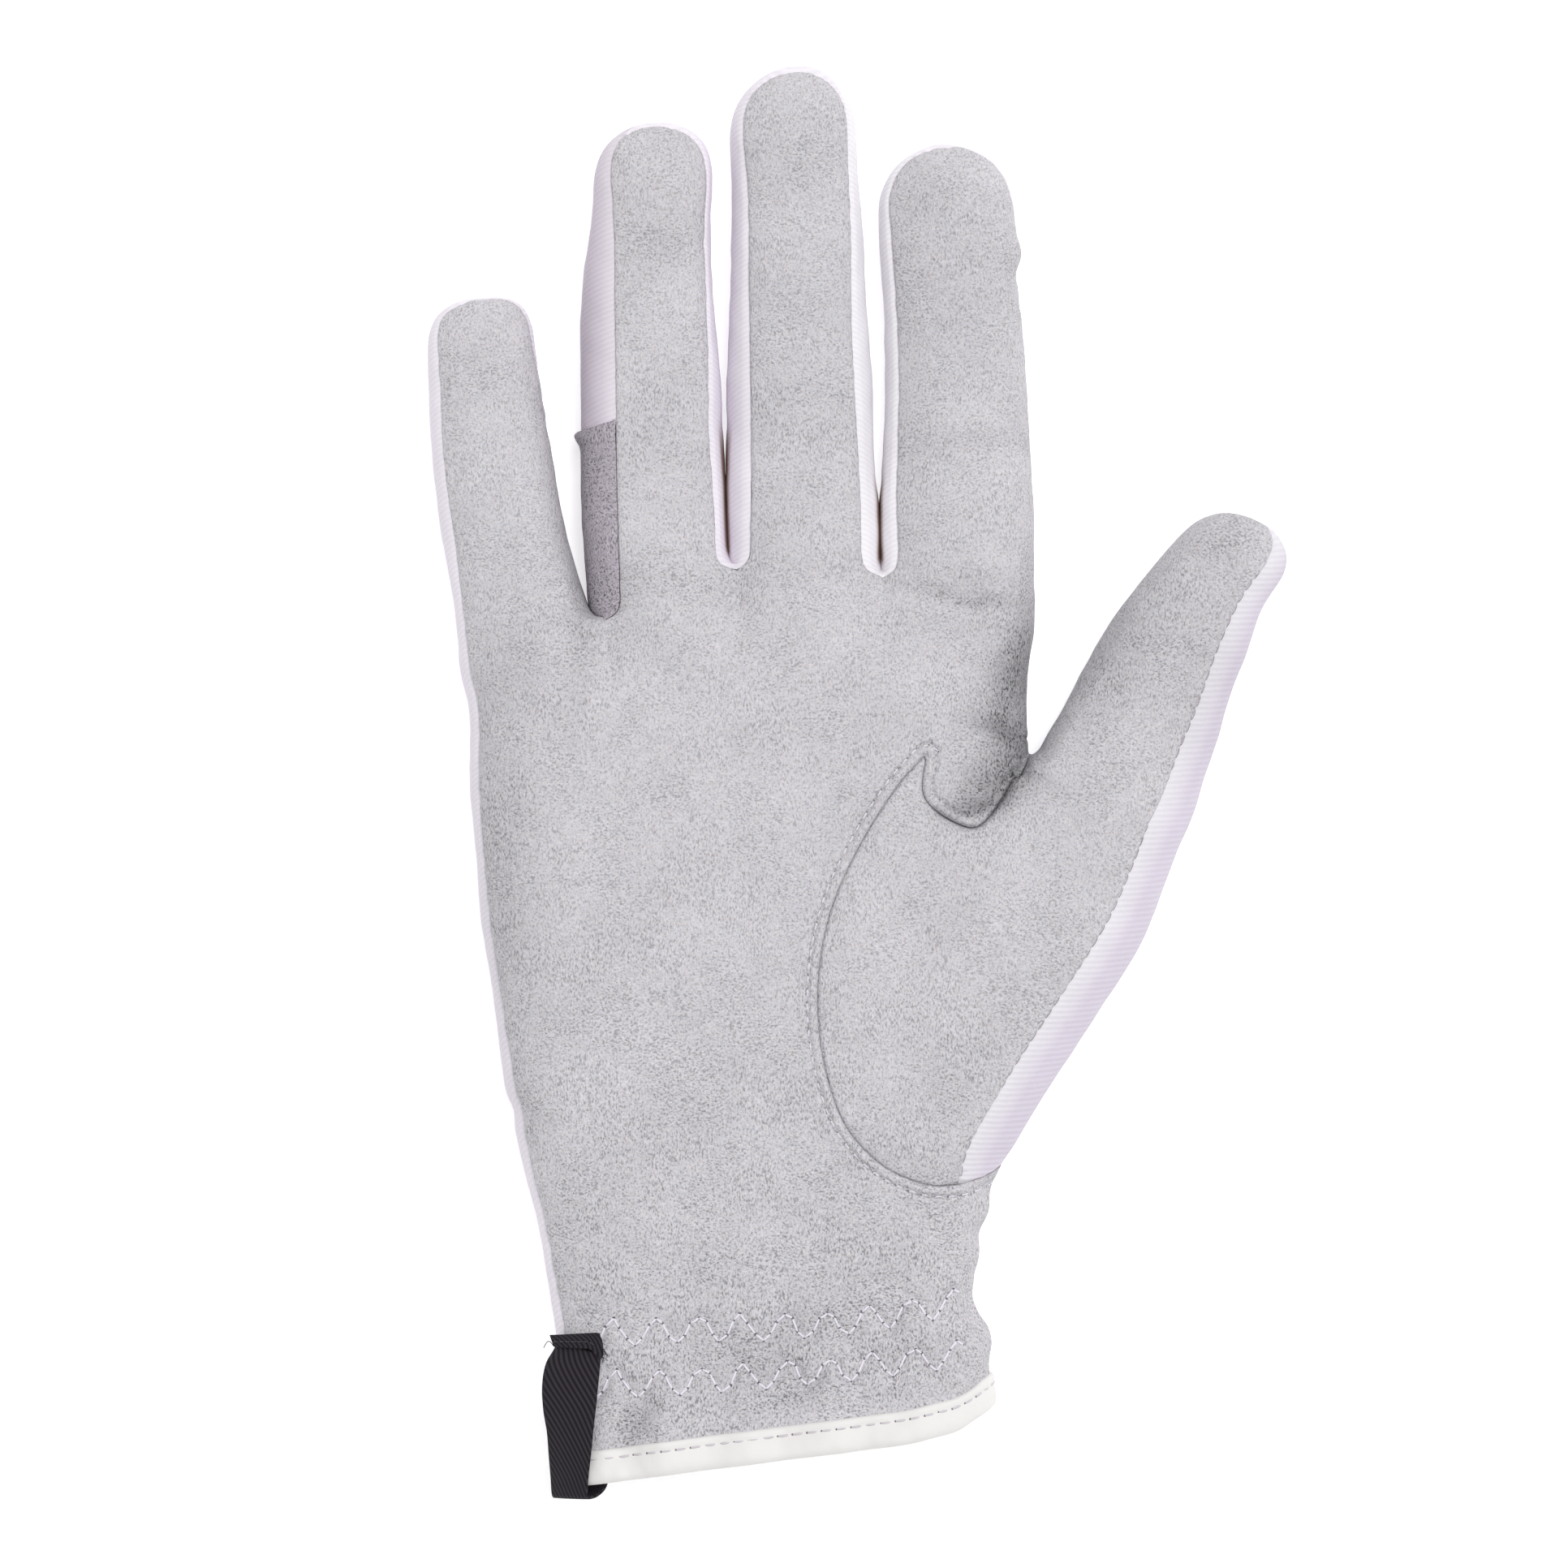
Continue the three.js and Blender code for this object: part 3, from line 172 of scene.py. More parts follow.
# Small bumps (positive) and dents of the outline: place, radius and height, in millimetres.
NICKS = table("x y radius height", [
    [26.5, 87.0, 3.0, 0.6], [26.0, 83.5, 2.2, -0.55], [-45.2, 72.0, 15.0, 0.6], [28.6, 25.0, 4.0, 0.35],
    [28.2, 17.0, 6.0, -0.35], [28.6, 7.2, 3.5, 0.35], [-56.4, -54.2, 2.2, -0.5],
    [-57.2, -50.5, 3.0, 0.3], [24.5, -59.5, 6.0, 0.8], [20.6, -67.3, 2.0, -0.4],
    [21.3, -70.3, 2.8, 0.55], [20.7, -74.3, 2.2, -0.5], [21.3, -78.5, 3.0, 0.55],
    [18.8, -85.8, 3.5, -0.45], [20.5, -92.0, 3.0, 0.3], [64.0, 22.5, 4.5, 0.5],
    [61.0, 12.0, 5.0, -0.35],
])
# Painted shade of folds, dents and edges that turn away, and painted light where the depth is negative:
# middle, direction from +X in degrees, length, width and how much darker.
PAINTED_SHADES = table("x y turn length width depth", [
    [26.4, 14.5, 84, 16, 4.6, 0.42], [23.6, 8.3, -22, 12, 2.4, 0.37], [22.4, 0.5, 35, 14, 3.8, 0.42],
    [19.4, -4.2, 8, 9, 1.5, 0.36], [25.4, -0.4, 58, 8, 1.7, 0.26], [12.6, 30.8, -17, 11, 0.9, 0.2],
    [21.2, 29.2, 0, 9, 0.9, 0.27], [27.2, 24.5, 88, 15, 2.8, 0.18], [20.0, 33.6, -4, 12, 2.0, 0.08],
    [-45.0, 76.0, 88, 46, 3.2, 0.20], [-12.0, -94.0, 6, 56, 8.0, 0.12],
    [-45.0, 26.0, 88, 26, 3.0, 0.16], [57.0, 12.0, 62, 30, 7.0, 0.09], [9.0, 98.0, 10, 10, 7.0, 0.05],
    [-10.0, 60.0, -30, 30, 7.0, 0.06], [16.0, 55.0, 5, 22, 3.0, 0.07], [13.0, 78.0, 60, 26, 7.0, 0.07],
    [-33.0, 88.0, 10, 12, 4.0, 0.07], [-31.0, 56.0, 0, 16, 3.0, 0.05],
    [-48.0, -38.0, 60, 26, 6.0, 0.07], [-58.0, -10.0, 88, 90, 5.0, 0.11],
    [-30.0, -82.0, 8, 26, 5.0, 0.06], [43.0, 22.0, 62, 40, 9.0, 0.12], [61.0, 40.0, 30, 14, 4.0, 0.09],
    [-37.2, -105.0, 58, 13, 2.0, 0.16], [-12.0, -101.0, 20, 26, 2.4, 0.06],
    [8.0, -80.0, 30, 20, 4.0, 0.05], [5.0, 34.0, 0, 16, 2.0, 0.05], [-23.0, 33.0, 6, 22, 4.5, 0.05],
    [-57.0, 50.0, 84, 34, 9.0, -0.035], [-33.0, 74.0, 90, 34, 8.0, -0.025],
])

# Mesh cell sizes
CELL = 0.85
STRIP_COLUMNS = 34
BACK_COLUMNS = 22
WALL_COLUMNS = 9


def ease(share):
    t = np.clip(share, 0, 1)
    return t * t * (3 - 2 * t)


def dome(share, power):
    return np.maximum(1 - np.clip(np.abs(share), 0, 1) ** power, 0) ** (1 / power)


def mix(a, b, share):
    return a + (b - a) * share


def quarter_arc(share):
    return np.sqrt(np.maximum(1 - (1 - np.clip(share, 0, 1)) ** 2, 0))


def bell(distance, width):
    """One at no distance, and less and less over the width."""
    return np.exp(-((distance / width) ** 2))


def unit(vectors):
    """Vectors of length one in the same directions."""
    return vectors / np.linalg.norm(vectors, axis=-1, keepdims=True)


def run_lengths(line):
    """How far along a line each of its points lies."""
    return np.concatenate([[0], np.cumsum(np.linalg.norm(np.diff(line, axis=0), axis=1))])


def read_line(line, lengths, at):
    return np.column_stack([np.interp(at, lengths, column) for column in line.T])


def above_table(places, gap):
    return np.column_stack([places[:, :2], np.maximum(places[:, 2], gap)])


def edge_rise(inset, power):
    return dome(1 - np.clip(inset / SIDE_ROUNDING, 0, 1), power)


def read(tab, column, along):
    """A smooth curve through one column of a table."""
    key, val = tab["along"], tab[column]
    at = np.clip(along, key[0], key[-1])
    i = np.clip(np.searchsorted(key, at, side="left") - 1, 0, len(key) - 2)
    lo, hi = np.maximum(np.arange(len(key)) - 1, 0), np.minimum(np.arange(len(key)) + 1, len(key) - 1)
    slope = (val[hi] - val[lo]) / (key[hi] - key[lo])
    span = key[i + 1] - key[i]
    t = (at - key[i]) / span
    return (
        (1 + 2 * t) * (1 - t) ** 2 * val[i]
        + t * (1 - t) ** 2 * span * slope[i]
        + t * t * (3 - 2 * t) * val[i + 1]
        + t * t * (t - 1) * span * slope[i + 1]
    )


class Digit:
    """A finger or the thumb: its sizes, its sections and its axis."""

    def __init__(self, row, sections):
        values = dict(zip(DIGIT_COLUMNS.split(), row))
        self.pitch = values["pitch"]
        self.width = values["width"] * PALM_WIDTH
        self.length = values["length"] * PALM_LENGTH
        self.thickness = values["thickness"] * PALM_THICKNESS
        self.curl, self.square = values["curl"], values["square"]
        angle = math.radians(values["lean"])
        self.forward = np.array([math.sin(angle), math.cos(angle)])
        self.side = np.array([math.cos(angle), -math.sin(angle)])
        self.sections = table(SECTION_COLUMNS, sections)

    def section(self, distance):
        share = distance / self.length
        half = read(self.sections, "half", share) * self.width
        thickness = mix(self.base_thickness, self.thickness, ease(share / 0.3))

        def into(length):
            return np.clip((distance - self.length + length) / length, 0, 1)

        return {
            "middle": read(self.sections, "shift", share) * self.width,
            "half": half * dome(into(0.95 * half), self.square),
            "close": dome(into(1.5 * half), 2.2),
            "seam_left": read(self.sections, "seam_left", share),
            "seam_right": read(self.sections, "seam_right", share),
            "thickness": thickness * mix(1, 0.9, ease(share)),
            "lift": self.curl * share * share,
        }

    def place(self, distance, across):
        return self.base + np.multiply.outer(distance, self.forward) + np.multiply.outer(across, self.side)


DIGITS = [Digit(row, sections) for row, sections in zip(DIGIT_ROWS, SECTION_ROWS)]
PITCH_SHARES = np.concatenate([[0], np.cumsum([digit.pitch for digit in DIGITS])])


# Shares of the hand's length: where the wrist is, where the knuckles start, and how soon the palm fills out
WRIST_AT, KNUCKLES_FROM, PALM_FILLS_IN = 0.17, 0.6, 0.35


def hand_thickness(along):
    wrist = mix(HEM_THICKNESS, WRIST_THICKNESS, ease(along / WRIST_AT))
    body = mix(wrist, PALM_THICKNESS, ease((along - WRIST_AT) / PALM_FILLS_IN))
    return mix(body, KNUCKLE_THICKNESS, ease((along - KNUCKLES_FROM) / (1 - KNUCKLES_FROM)))


def boundary(number, along):
    """Plan position of a line up the hand: 0 little finger's side, 1 to 3 crotches, 4 web, 5 thumb's side."""
    left, web, right = (read(HAND, name, along) * PALM_WIDTH for name in ("left", "web", "right"))
    even = mix(number / 4, PITCH_SHARES[min(number, 4)], ease((along - 0.2) / 0.8))
    x = right if number == 5 else mix(left, web, even)
    tilt = HEM_SLANT * (x - (left + right) / 2) / (right - left)
    rise = KNUCKLE_RISE[min(number, 4)] * PALM_LENGTH * ease((along - THUMB_CROTCH) / (1 - THUMB_CROTCH))
    drop = 0
    if number == 5:
        drop = read(HAND, "drop", along) * PALM_LENGTH + HEM_CURL * (1 - ease(along / 0.2))
    return np.array([x, along * PALM_LENGTH + tilt * (1 - ease(along / 0.4)) + rise + drop])


CROTCHES = [boundary(number, 1.0) for number in (1, 2, 3)]
WEB = boundary(4, THUMB_CROTCH)
for number, digit in enumerate(DIGITS):
    if number < 4:
        ends = boundary(number, 1.0), boundary(number + 1, 1.0)
    else:
        ends = WEB, boundary(5, THUMB_CROTCH)
    digit.base = (ends[0] + ends[1]) / 2
    digit.base_thickness = hand_thickness(1.0 if number < 4 else THUMB_CROTCH)


def gather(x, along):
    strength = GATHER_DEPTH * (1 - ease((along - 0.1) / 0.14))
    return strength * np.cos(2 * math.pi * GATHER_COUNT * x / PALM_WIDTH)


def palm_rise(point, left, right, column, strip, along, power):
    x, y = point[:, 0], point[:, 1]
    rise = edge_rise(x - left, power) * edge_rise(right - x, power)
    if along < THUMB_CROTCH:
        rise = rise * edge_rise(np.hypot(x - WEB[0], y - WEB[1]) + SHOULDER_INSET, power)
    for crotch in CROTCHES:
        near = np.hypot(x - crotch[0], y - crotch[1]) / CROTCH_DIP_RADIUS
        rise = rise * (1 - CROTCH_DIP * (1 - ease(near)))
    if strip > 3:
        return rise
    slope = np.maximum(1 - 2 * column if strip > 0 else 0, 2 * column - 1 if strip < 3 else 0)
    slope = np.maximum(slope, 0) ** 2.5
    return rise * (1 - VALLEY_DEPTH * slope * ease((along - VALLEY_START) / (1 - VALLEY_START)))


def top_height(equator, rise, thickness, ruffle):
    return equator + (thickness * (1 - EQUATOR) + ruffle) * rise


def back_height(equator, rise, thickness, floor, ruffle):
    return np.maximum(equator - (thickness * EQUATOR + TABLE_SAG + ruffle / 2) * rise, floor)


def tight_ends(count, tightness):
    """Shares from 0 to 1 that stand closer together at both ends."""
    t = np.linspace(0, 1, count + 1)
    return t - tightness * np.sin(2 * math.pi * t) / (2 * math.pi)


TOP_SHARES = tight_ends(STRIP_COLUMNS, 0.7)
BACK_SHARES = tight_ends(BACK_COLUMNS, 0.5)


def on_plan(plan, z):
    return np.column_stack([plan, z])


def between(start, end, shares):
    return start + np.multiply.outer(shares, end - start)


class Strip:
    """A finger with the part of the hand below it: rows of palm-side and back points, and its two edges."""

    def __init__(self):
        self.top, self.back = [], []
        self.edges = {"left": [], "right": []}

    def edge(self, name, out, reach, equator):
        column = 0 if name == "left" else -1
        self.edges[name].append((self.top[-1][column], self.back[-1][column], out, reach, equator))


strips = [Strip() for _ in DIGITS]


def hand_row(along):
    thickness = hand_thickness(along)
    equator = EQUATOR * thickness
    open_strips = 5 if along <= THUMB_CROTCH else 4
    left, right = boundary(0, along), boundary(open_strips, along)
    floor = HEM_LIFT * (1 - ease((along - 0.04) / 0.06))
    for number in range(open_strips):
        strip = strips[number]
        ends = [boundary(number, along), boundary(number + 1, along)]
        backs = [end.copy() for end in ends]
        if number == 0:
            ends[0][0] += OUTER_INSET
            backs[0][0] += SHOULDER_INSET
        if number == 4:
            ends[1] = mix(ends[0], right, read(HAND, "seam", along))
            backs[1] = mix(ends[0], right, BACK_SHARE)
        if number == 3 and open_strips == 4:
            above = (along - THUMB_CROTCH) * PALM_LENGTH
            ends[1][0] = mix(WEB[0], right[0] - SHOULDER_INSET, quarter_arc(above / THUMB_CROTCH_RADIUS))
            backs[1][0] = ends[1][0]
        plan, back = between(*ends, TOP_SHARES), between(*backs, BACK_SHARES)
        rise = palm_rise(plan, left[0], right[0], TOP_SHARES, number, along, TOP_POWER)
        strip.top.append(on_plan(plan, top_height(equator, rise, thickness, gather(plan[:, 0], along))))
        rise = palm_rise(back, left[0], right[0], BACK_SHARES, number, along, BACK_POWER)
        ruffle = gather(back[:, 0], along)
        strip.back.append(on_plan(back, back_height(equator, rise, thickness, floor, ruffle)))
        if number == 0:
            strip.edge("left", np.array([-1.0, 0.0]), OUTER_INSET, equator)
        if number == 4:
            out = right - boundary(4, along)
            strip.edge("right", out / np.linalg.norm(out), np.linalg.norm(right - ends[1]), equator)
        if number == 3 and open_strips == 4:
            strip.edge("right", np.array([1.0, 0.0]), right[0] - ends[1][0], equator)


def crowded(start, end, step, closeness=(0.15, 0.4, 0.8, 1.4)):
    """Values from start to end a step apart, with closer ones just after the start, in steps."""
    extra = [start + share * step for share in closeness]
    rest = np.linspace(start + 2 * step, end, max(2, round((end - start - 2 * step) / step) + 1))
    return np.concatenate([extra, rest])


palm_alongs = np.linspace(0, THUMB_CROTCH, round(THUMB_CROTCH * PALM_LENGTH / CELL) + 1)
web_alongs = crowded(THUMB_CROTCH, 1.0, CELL / PALM_LENGTH)
for along in np.concatenate([palm_alongs, web_alongs]):
    hand_row(float(along))


CAP_SHARE = 0.12
CAP_ROWS = 14
BASE_BLEND = 14


def digit_rows(digit):
    cap = 1 - CAP_SHARE * (1 - np.sin(np.linspace(0, math.pi / 2, CAP_ROWS)[1:-1]))
    body = crowded(0.0, 1 - CAP_SHARE, CELL / digit.length)
    return np.concatenate([body, cap])


def digit_sheets(number):
    digit, strip = DIGITS[number], strips[number]
    base_top, base_back = strip.top[-1], strip.back[-1]
    rounded = (number > 0, number < 3) if number < 4 else (True, False)
    opening = [CROTCH_RADIUS if is_round else 15.0 for is_round in rounded]
    if number == 4:
        opening[0] = THUMB_CROTCH_RADIUS
    anchors = [base_top[0, :2], base_top[-1, :2]]
    back_anchors = [base_back[0, :2], base_back[-1, :2]]
    outer_reach = {0: OUTER_INSET, 3: SHOULDER_INSET}.get(number, 0)
    if number == 4:
        outer_reach = strip.edges["right"][-1][3]
    base_equator = EQUATOR * digit.base_thickness
    top_base = (base_top[:, 2] - base_equator) / (digit.base_thickness * (1 - EQUATOR))
    back_base = (base_equator - base_back[:, 2]) / (digit.base_thickness * EQUATOR + TABLE_SAG)
    for share in digit_rows(digit):
        sides = []
        for side, sign, seam_name in ((0, -1, "seam_left"), (1, 1, "seam_right")):
            start = (anchors[side] - digit.base) @ digit.forward
            distance = mix(start, digit.length, share)
            section = digit.section(distance)
            climbed = (distance - start) / opening[side]
            opened = quarter_arc(climbed) if rounded[side] else ease(climbed)
            seam = section[seam_name]

            def across(anchor, share_of_half):
                own = section["middle"] + sign * share_of_half * section["half"]
                return mix((anchor - digit.base) @ digit.side, own, opened)

            first_reach = CROTCH_REACH if rounded[side] else outer_reach
            sides.append({
                "point": digit.place(distance, across(anchors[side], seam)),
                "back": digit.place(distance, across(back_anchors[side], BACK_SHARE)),
                "out": digit.side * sign,
                "reach": mix(first_reach, (1 - seam) * section["half"], opened),
                "distance": distance,
                "equator": section["lift"] + EQUATOR * section["thickness"],
            })

        def sheet(kind, shares, base, power):
            distance = mix(sides[0]["distance"], sides[1]["distance"], shares)
            section = digit.section(np.minimum(distance, digit.length))
            equator = section["lift"] + EQUATOR * section["thickness"]
            plan = between(sides[0][kind], sides[1][kind], shares)
            low, high = section["seam_left"], section["seam_right"]
            if kind == "back":
                low = high = BACK_SHARE
            own = dome(mix(-low, high, shares), power)
            rise = mix(base, own, ease(distance / BASE_BLEND)) * section["close"]
            if kind == "point":
                return on_plan(plan, top_height(equator, rise, section["thickness"], 0))
            return on_plan(plan, back_height(equator, rise, section["thickness"], section["lift"], 0))

        strip.top.append(sheet("point", TOP_SHARES, top_base, TOP_POWER))
        strip.back.append(sheet("back", BACK_SHARES, back_base, BACK_POWER))
        for name, side in zip(("left", "right"), sides):
            strip.edge(name, side["out"], side["reach"], side["equator"])
    end = digit.section(np.float64(digit.length))
    tip_plan = digit.place(digit.length, end["middle"])
    tip = np.array([*tip_plan, end["lift"] + EQUATOR * end["thickness"]])
    digit.tip = tip
    strip.top.append(np.tile(tip, (len(TOP_SHARES), 1)))
    strip.back.append(np.tile(tip, (len(BACK_SHARES), 1)))
    for name in ("left", "right"):
        strip.edges[name].append((tip, tip, digit.forward, 0.0, tip[2]))


for number in range(5):
    digit_sheets(number)


THUMB_CROTCH_END = WEB + THUMB_CROTCH_LEAD


def round_thumb_crotch(edge):
    """Leads a wall beside the thumb round the bottom of its slot in one even curve."""
    climbed = np.array([np.linalg.norm(row[0][:2] - WEB) for row in edge])
    last = int(np.argmax(climbed > THUMB_CROTCH_BLEND))
    end = edge[last][0][:2] + edge[last][2] * edge[last][3]
    for i in range(last):
        top, back, _, _, equator = edge[i]
        share = climbed[i] / climbed[last]
        outline = mix(THUMB_CROTCH_END, end, np.array([share**0.7, share**1.2]))
        reach = np.linalg.norm(outline - top[:2])
        edge[i] = (top, back, (outline - top[:2]) / reach, reach, equator)


round_thumb_crotch(strips[3].edges["right"])
round_thumb_crotch(strips[4].edges["left"])


def wall(edge, columns=WALL_COLUMNS):
    """Rows of points from the palm-side edge over the outline to the back edge."""
    rows = []
    for top, back, out, reach, equator in edge:
        outline = top[:2] + out * reach
        start = min(max(1 - reach / SIDE_ROUNDING, 0), 0.97)
        arcs = []
        for corner, power in ((top, TOP_POWER), (back, BACK_POWER)):
            first = math.asin(start ** (power / 2))
            angle = np.linspace(first, math.pi / 2, columns + 1)
            outwards = (np.sin(angle) ** (2 / power) - start) / (1 - start)
            upwards = (np.maximum(np.cos(angle), 0) / math.cos(first)) ** (2 / power)
            upwards[-1] = 0
            arcs.append(on_plan(between(corner[:2], outline, outwards), mix(equator, corner[2], upwards)))
        rows.append(np.vstack([arcs[0], arcs[1][::-1][1:]]))
    return np.array(rows)


def fit_slot(left, right, touch, gap):
    """Keeps two walls on their own sides of the slot, and lets them bulge until they meet below touch."""
    outlines = [rows[:, WALL_COLUMNS].copy() for rows in (left, right)]
    top = min(line[-1, 1] for line in outlines)
    for rows, line, sign in ((left, outlines[0], 1), (right, outlines[1], -1)):
        y = line[:, 1]
        sides = [np.interp(y, other[:, 1], other[:, 0]) for other in outlines]
        middle = (sides[0] + sides[1]) / 2 - sign * gap / 2
        reach = line[:, 0] - rows[:, 0, 0]
        wanted = middle - rows[:, 0, 0]
        factor = np.where(np.abs(reach) > 0.3, wanted / np.where(np.abs(reach) > 0.3, reach, 1), 1)
        pressed = mix(np.minimum(factor, 1), np.clip(factor, 0, 2.5), ease((touch - y) / 9))
        pressed = np.where(y < top, np.maximum(pressed, 0.1), 1)
        rows[:, 1:-1, 0] = rows[:, :1, 0] + (rows[:, 1:-1, 0] - rows[:, :1, 0]) * pressed[:, None]


def crotch_row(number):
    if number == 3:
        strip, row, column, along = strips[4], len(palm_alongs) - 1, 0, THUMB_CROTCH
        reach = np.linalg.norm(THUMB_CROTCH_LEAD)
        out = THUMB_CROTCH_LEAD / reach
    else:
        strip, row, column, along = strips[number], len(palm_alongs) + len(web_alongs) - 1, -1, 1.0
        out, reach = np.array([0.0, 1.0]), CROTCH_REACH
    corner = strip.top[row][column], strip.back[row][column]
    return wall([(*corner, out, reach, EQUATOR * hand_thickness(along))])


slots = []
for number in range(4):
    left, right = wall(strips[number].edges["right"]), wall(strips[number + 1].edges["left"])
    fit_slot(left, right, TOUCH_UP_TO[number] + ORIGIN[1], SLOT_GAPS[number])
    crotch = crotch_row(number)
    slots.append((np.concatenate([crotch, left]), np.concatenate([crotch, right])))
outer_wall = wall(strips[0].edges["left"])
hand_rows_of_outer = len(palm_alongs) + len(web_alongs)
thumb_wall = wall(strips[4].edges["right"])

# The welded surface. Each region is a grid of points. Its first and last column can be seams.
regions = {}


def add_region(name, grid, flip, first_seam, last_seam):
    regions[name] = {"grid": np.asarray(grid), "flip": flip, "seams": (first_seam, last_seam)}


for number, strip in enumerate(strips):
    hand = len(palm_alongs) + (len(web_alongs) if number < 4 else 0)
    top_seams = {0: 0, 4: None}.get(number, hand), None if number in (0, 3, 4) else hand
    back_seams = {0: None, 4: 0}.get(number, hand), {4: None, 3: 0}.get(number, hand)
    add_region(f"top{number}", strip.top, False, *top_seams)
    add_region(f"back{number}", strip.back, True, *back_seams)
for number, (left, right) in enumerate(slots):
    has_seam = number in (1, 2)
    add_region(f"slot{number}_left", left, False, 0 if has_seam else None, 0)
    add_region(f"slot{number}_right", right, True, 0 if number < 3 else None, 0)
add_region("outer", outer_wall, True, 0, None)
add_region("thumb_wall", thumb_wall, False, None, None)

stacked = np.vstack([region["grid"].reshape(-1, 3) for region in regions.values()]) - ORIGIN
WELD_STEPS = 2000
rounded = np.round(stacked * WELD_STEPS).astype(np.int64)
_, first, welded = np.unique(rounded, axis=0, return_index=True, return_inverse=True)
welded = welded.reshape(-1)
points = stacked[first]

FAR = 99.0
seam_distance = np.full(len(points), FAR)
thumb_seam_distance = np.full(len(points), FAR)
weave_across = points[:, 0].copy()
triangles, triangle_region = [], []
start = 0
for number, (name, region) in enumerate(regions.items()):
    grid = region["grid"]
    rows, columns = grid.shape[:2]
    ids = welded[start : start + rows * columns].reshape(rows, columns)
    start += rows * columns
    region["ids"] = ids
    a, b, c, d = ids[:-1, :-1], ids[:-1, 1:], ids[1:, 1:], ids[1:, :-1]
    quads = np.stack([a, b, c, a, c, d], -1).reshape(-1, 3)
    if region["flip"]:
        quads = quads[:, ::-1]
    solid = (quads[:, 0] != quads[:, 1]) & (quads[:, 1] != quads[:, 2]) & (quads[:, 2] != quads[:, 0])
    triangles.append(quads[solid])
    triangle_region.append(np.full(solid.sum(), number))
    steps = np.linalg.norm(np.diff(grid, axis=1), axis=2)
    from_first = np.hstack([np.zeros((rows, 1)), np.cumsum(steps, 1)])
    from_last = from_first[:, -1:] - from_first
    for distance, seam in ((from_first, region["seams"][0]), (from_last, region["seams"][1])):
        if seam is None:
            continue
        limited = distance.copy()
        limited[:seam] = FAR
        np.minimum.at(seam_distance, ids.ravel(), limited.ravel())
    if name.startswith("slot"):
        weave_across[ids] = from_first
    if name == "outer":
        weave_across[ids] = grid[:, -1:, 0] - ORIGIN[0] - from_last
    if name == "thumb_wall":
        weave_across[ids] = grid[:, -1:, 0] - ORIGIN[0] + from_last
    if name == "top4":
        np.minimum.at(thumb_seam_distance, ids.ravel(), from_last.ravel())
    if name == "thumb_wall":
        np.minimum.at(thumb_seam_distance, ids.ravel(), from_first.ravel())
triangles = np.vstack(triangles)
triangle_region = np.concatenate(triangle_region)
region_number = {name: i for i, name in enumerate(regions)}


def smooth(places, faces, rounds, strength=0.55):
    """Evens out the surface without drawing close rows of points apart."""
    edges = np.vstack([faces[:, [0, 1]], faces[:, [1, 2]], faces[:, [2, 0]]])
    edges = np.unique(np.sort(edges, 1), axis=0)
    lengths = np.linalg.norm(places[edges[:, 0]] - places[edges[:, 1]], axis=1)
    weight = 1 / np.maximum(lengths, 0.05)
    total = np.bincount(edges.ravel(), np.repeat(weight, 2), len(places))
    places = places.copy()
    for _ in range(rounds):
        moved = np.empty_like(places)
        for axis in range(3):
            diff = (places[edges[:, 1], axis] - places[edges[:, 0], axis]) * weight
            ahead, behind = (np.bincount(edges[:, side], diff, len(places)) for side in (0, 1))
            moved[:, axis] = ahead - behind
        places += strength * moved / total[:, None]
    return places


hem_ids = np.unique(np.concatenate([r["ids"][0] for n, r in regions.items() if not n.startswith("slot")]))
before = points[hem_ids].copy()
points = smooth(points, triangles, 9)
points[hem_ids] = before
points = above_table(points, PLAIN_GAP)


def vertex_normals(places, faces):
    face = np.cross(places[faces[:, 1]] - places[faces[:, 0]], places[faces[:, 2]] - places[faces[:, 0]])
    out = np.zeros_like(places)
    for corner in range(3):
        for axis in range(3):
            out[:, axis] += np.bincount(faces[:, corner], face[:, axis], len(places))
    return out / np.maximum(np.linalg.norm(out, axis=1, keepdims=True), 1e-9)


normals = vertex_normals(points, triangles)


# The seam line of the thumb hole, and each point's distance to it in plan, positive outside the hole.
def spline(keys, count):
    """A smooth curve through points, evenly read."""
    keys = np.asarray(keys, float)
    padded = np.vstack([2 * keys[0] - keys[1], keys, 2 * keys[-1] - keys[-2]])
    at = np.linspace(0, len(keys) - 1, count)
    i = np.minimum(at.astype(int), len(keys) - 2)
    t = (at - i)[:, None]
    p0, p1, p2, p3 = (padded[i + k] for k in range(4))
    return 0.5 * (
        2 * p1 + (p2 - p0) * t + (2 * p0 - 5 * p1 + 4 * p2 - p3) * t**2 + (3 * p1 - p0 - 3 * p2 + p3) * t**3
    )


seam_keys = np.column_stack([THUMB_SEAM["across"] * PALM_WIDTH, THUMB_SEAM["along"] * PALM_LENGTH])
seam_keys -= ORIGIN[:2]
tongue_line = spline(seam_keys[: SPIKE + 1], 60)
mound_line = spline(seam_keys[SPIKE:], 180)
seam_line = np.vstack([tongue_line[:-1], mound_line])
outlines = [rows[:, WALL_COLUMNS] - ORIGIN for rows in slots[3]]
slot_y = np.linspace(outlines[0][0, 1], min(line[-1, 1] for line in outlines), 60)
slot_x = sum(np.interp(slot_y, line[:, 1], line[:, 0]) for line in outlines) / 2
slot_line = np.column_stack([slot_x, slot_y])
seam_line = np.vstack([slot_line[2::-1], seam_line])
far_x, far_y = PALM_WIDTH, slot_line[-1, 1] + PALM_WIDTH / 3
tail = seam_line[-1] + np.array([PALM_WIDTH / 2, 12.0])
hole_loop = np.vstack([seam_line, [tail], [[far_x, far_y], [slot_line[-1, 0], far_y]], slot_line[::-1]])
seam_line = np.vstack([seam_line, [tail]])


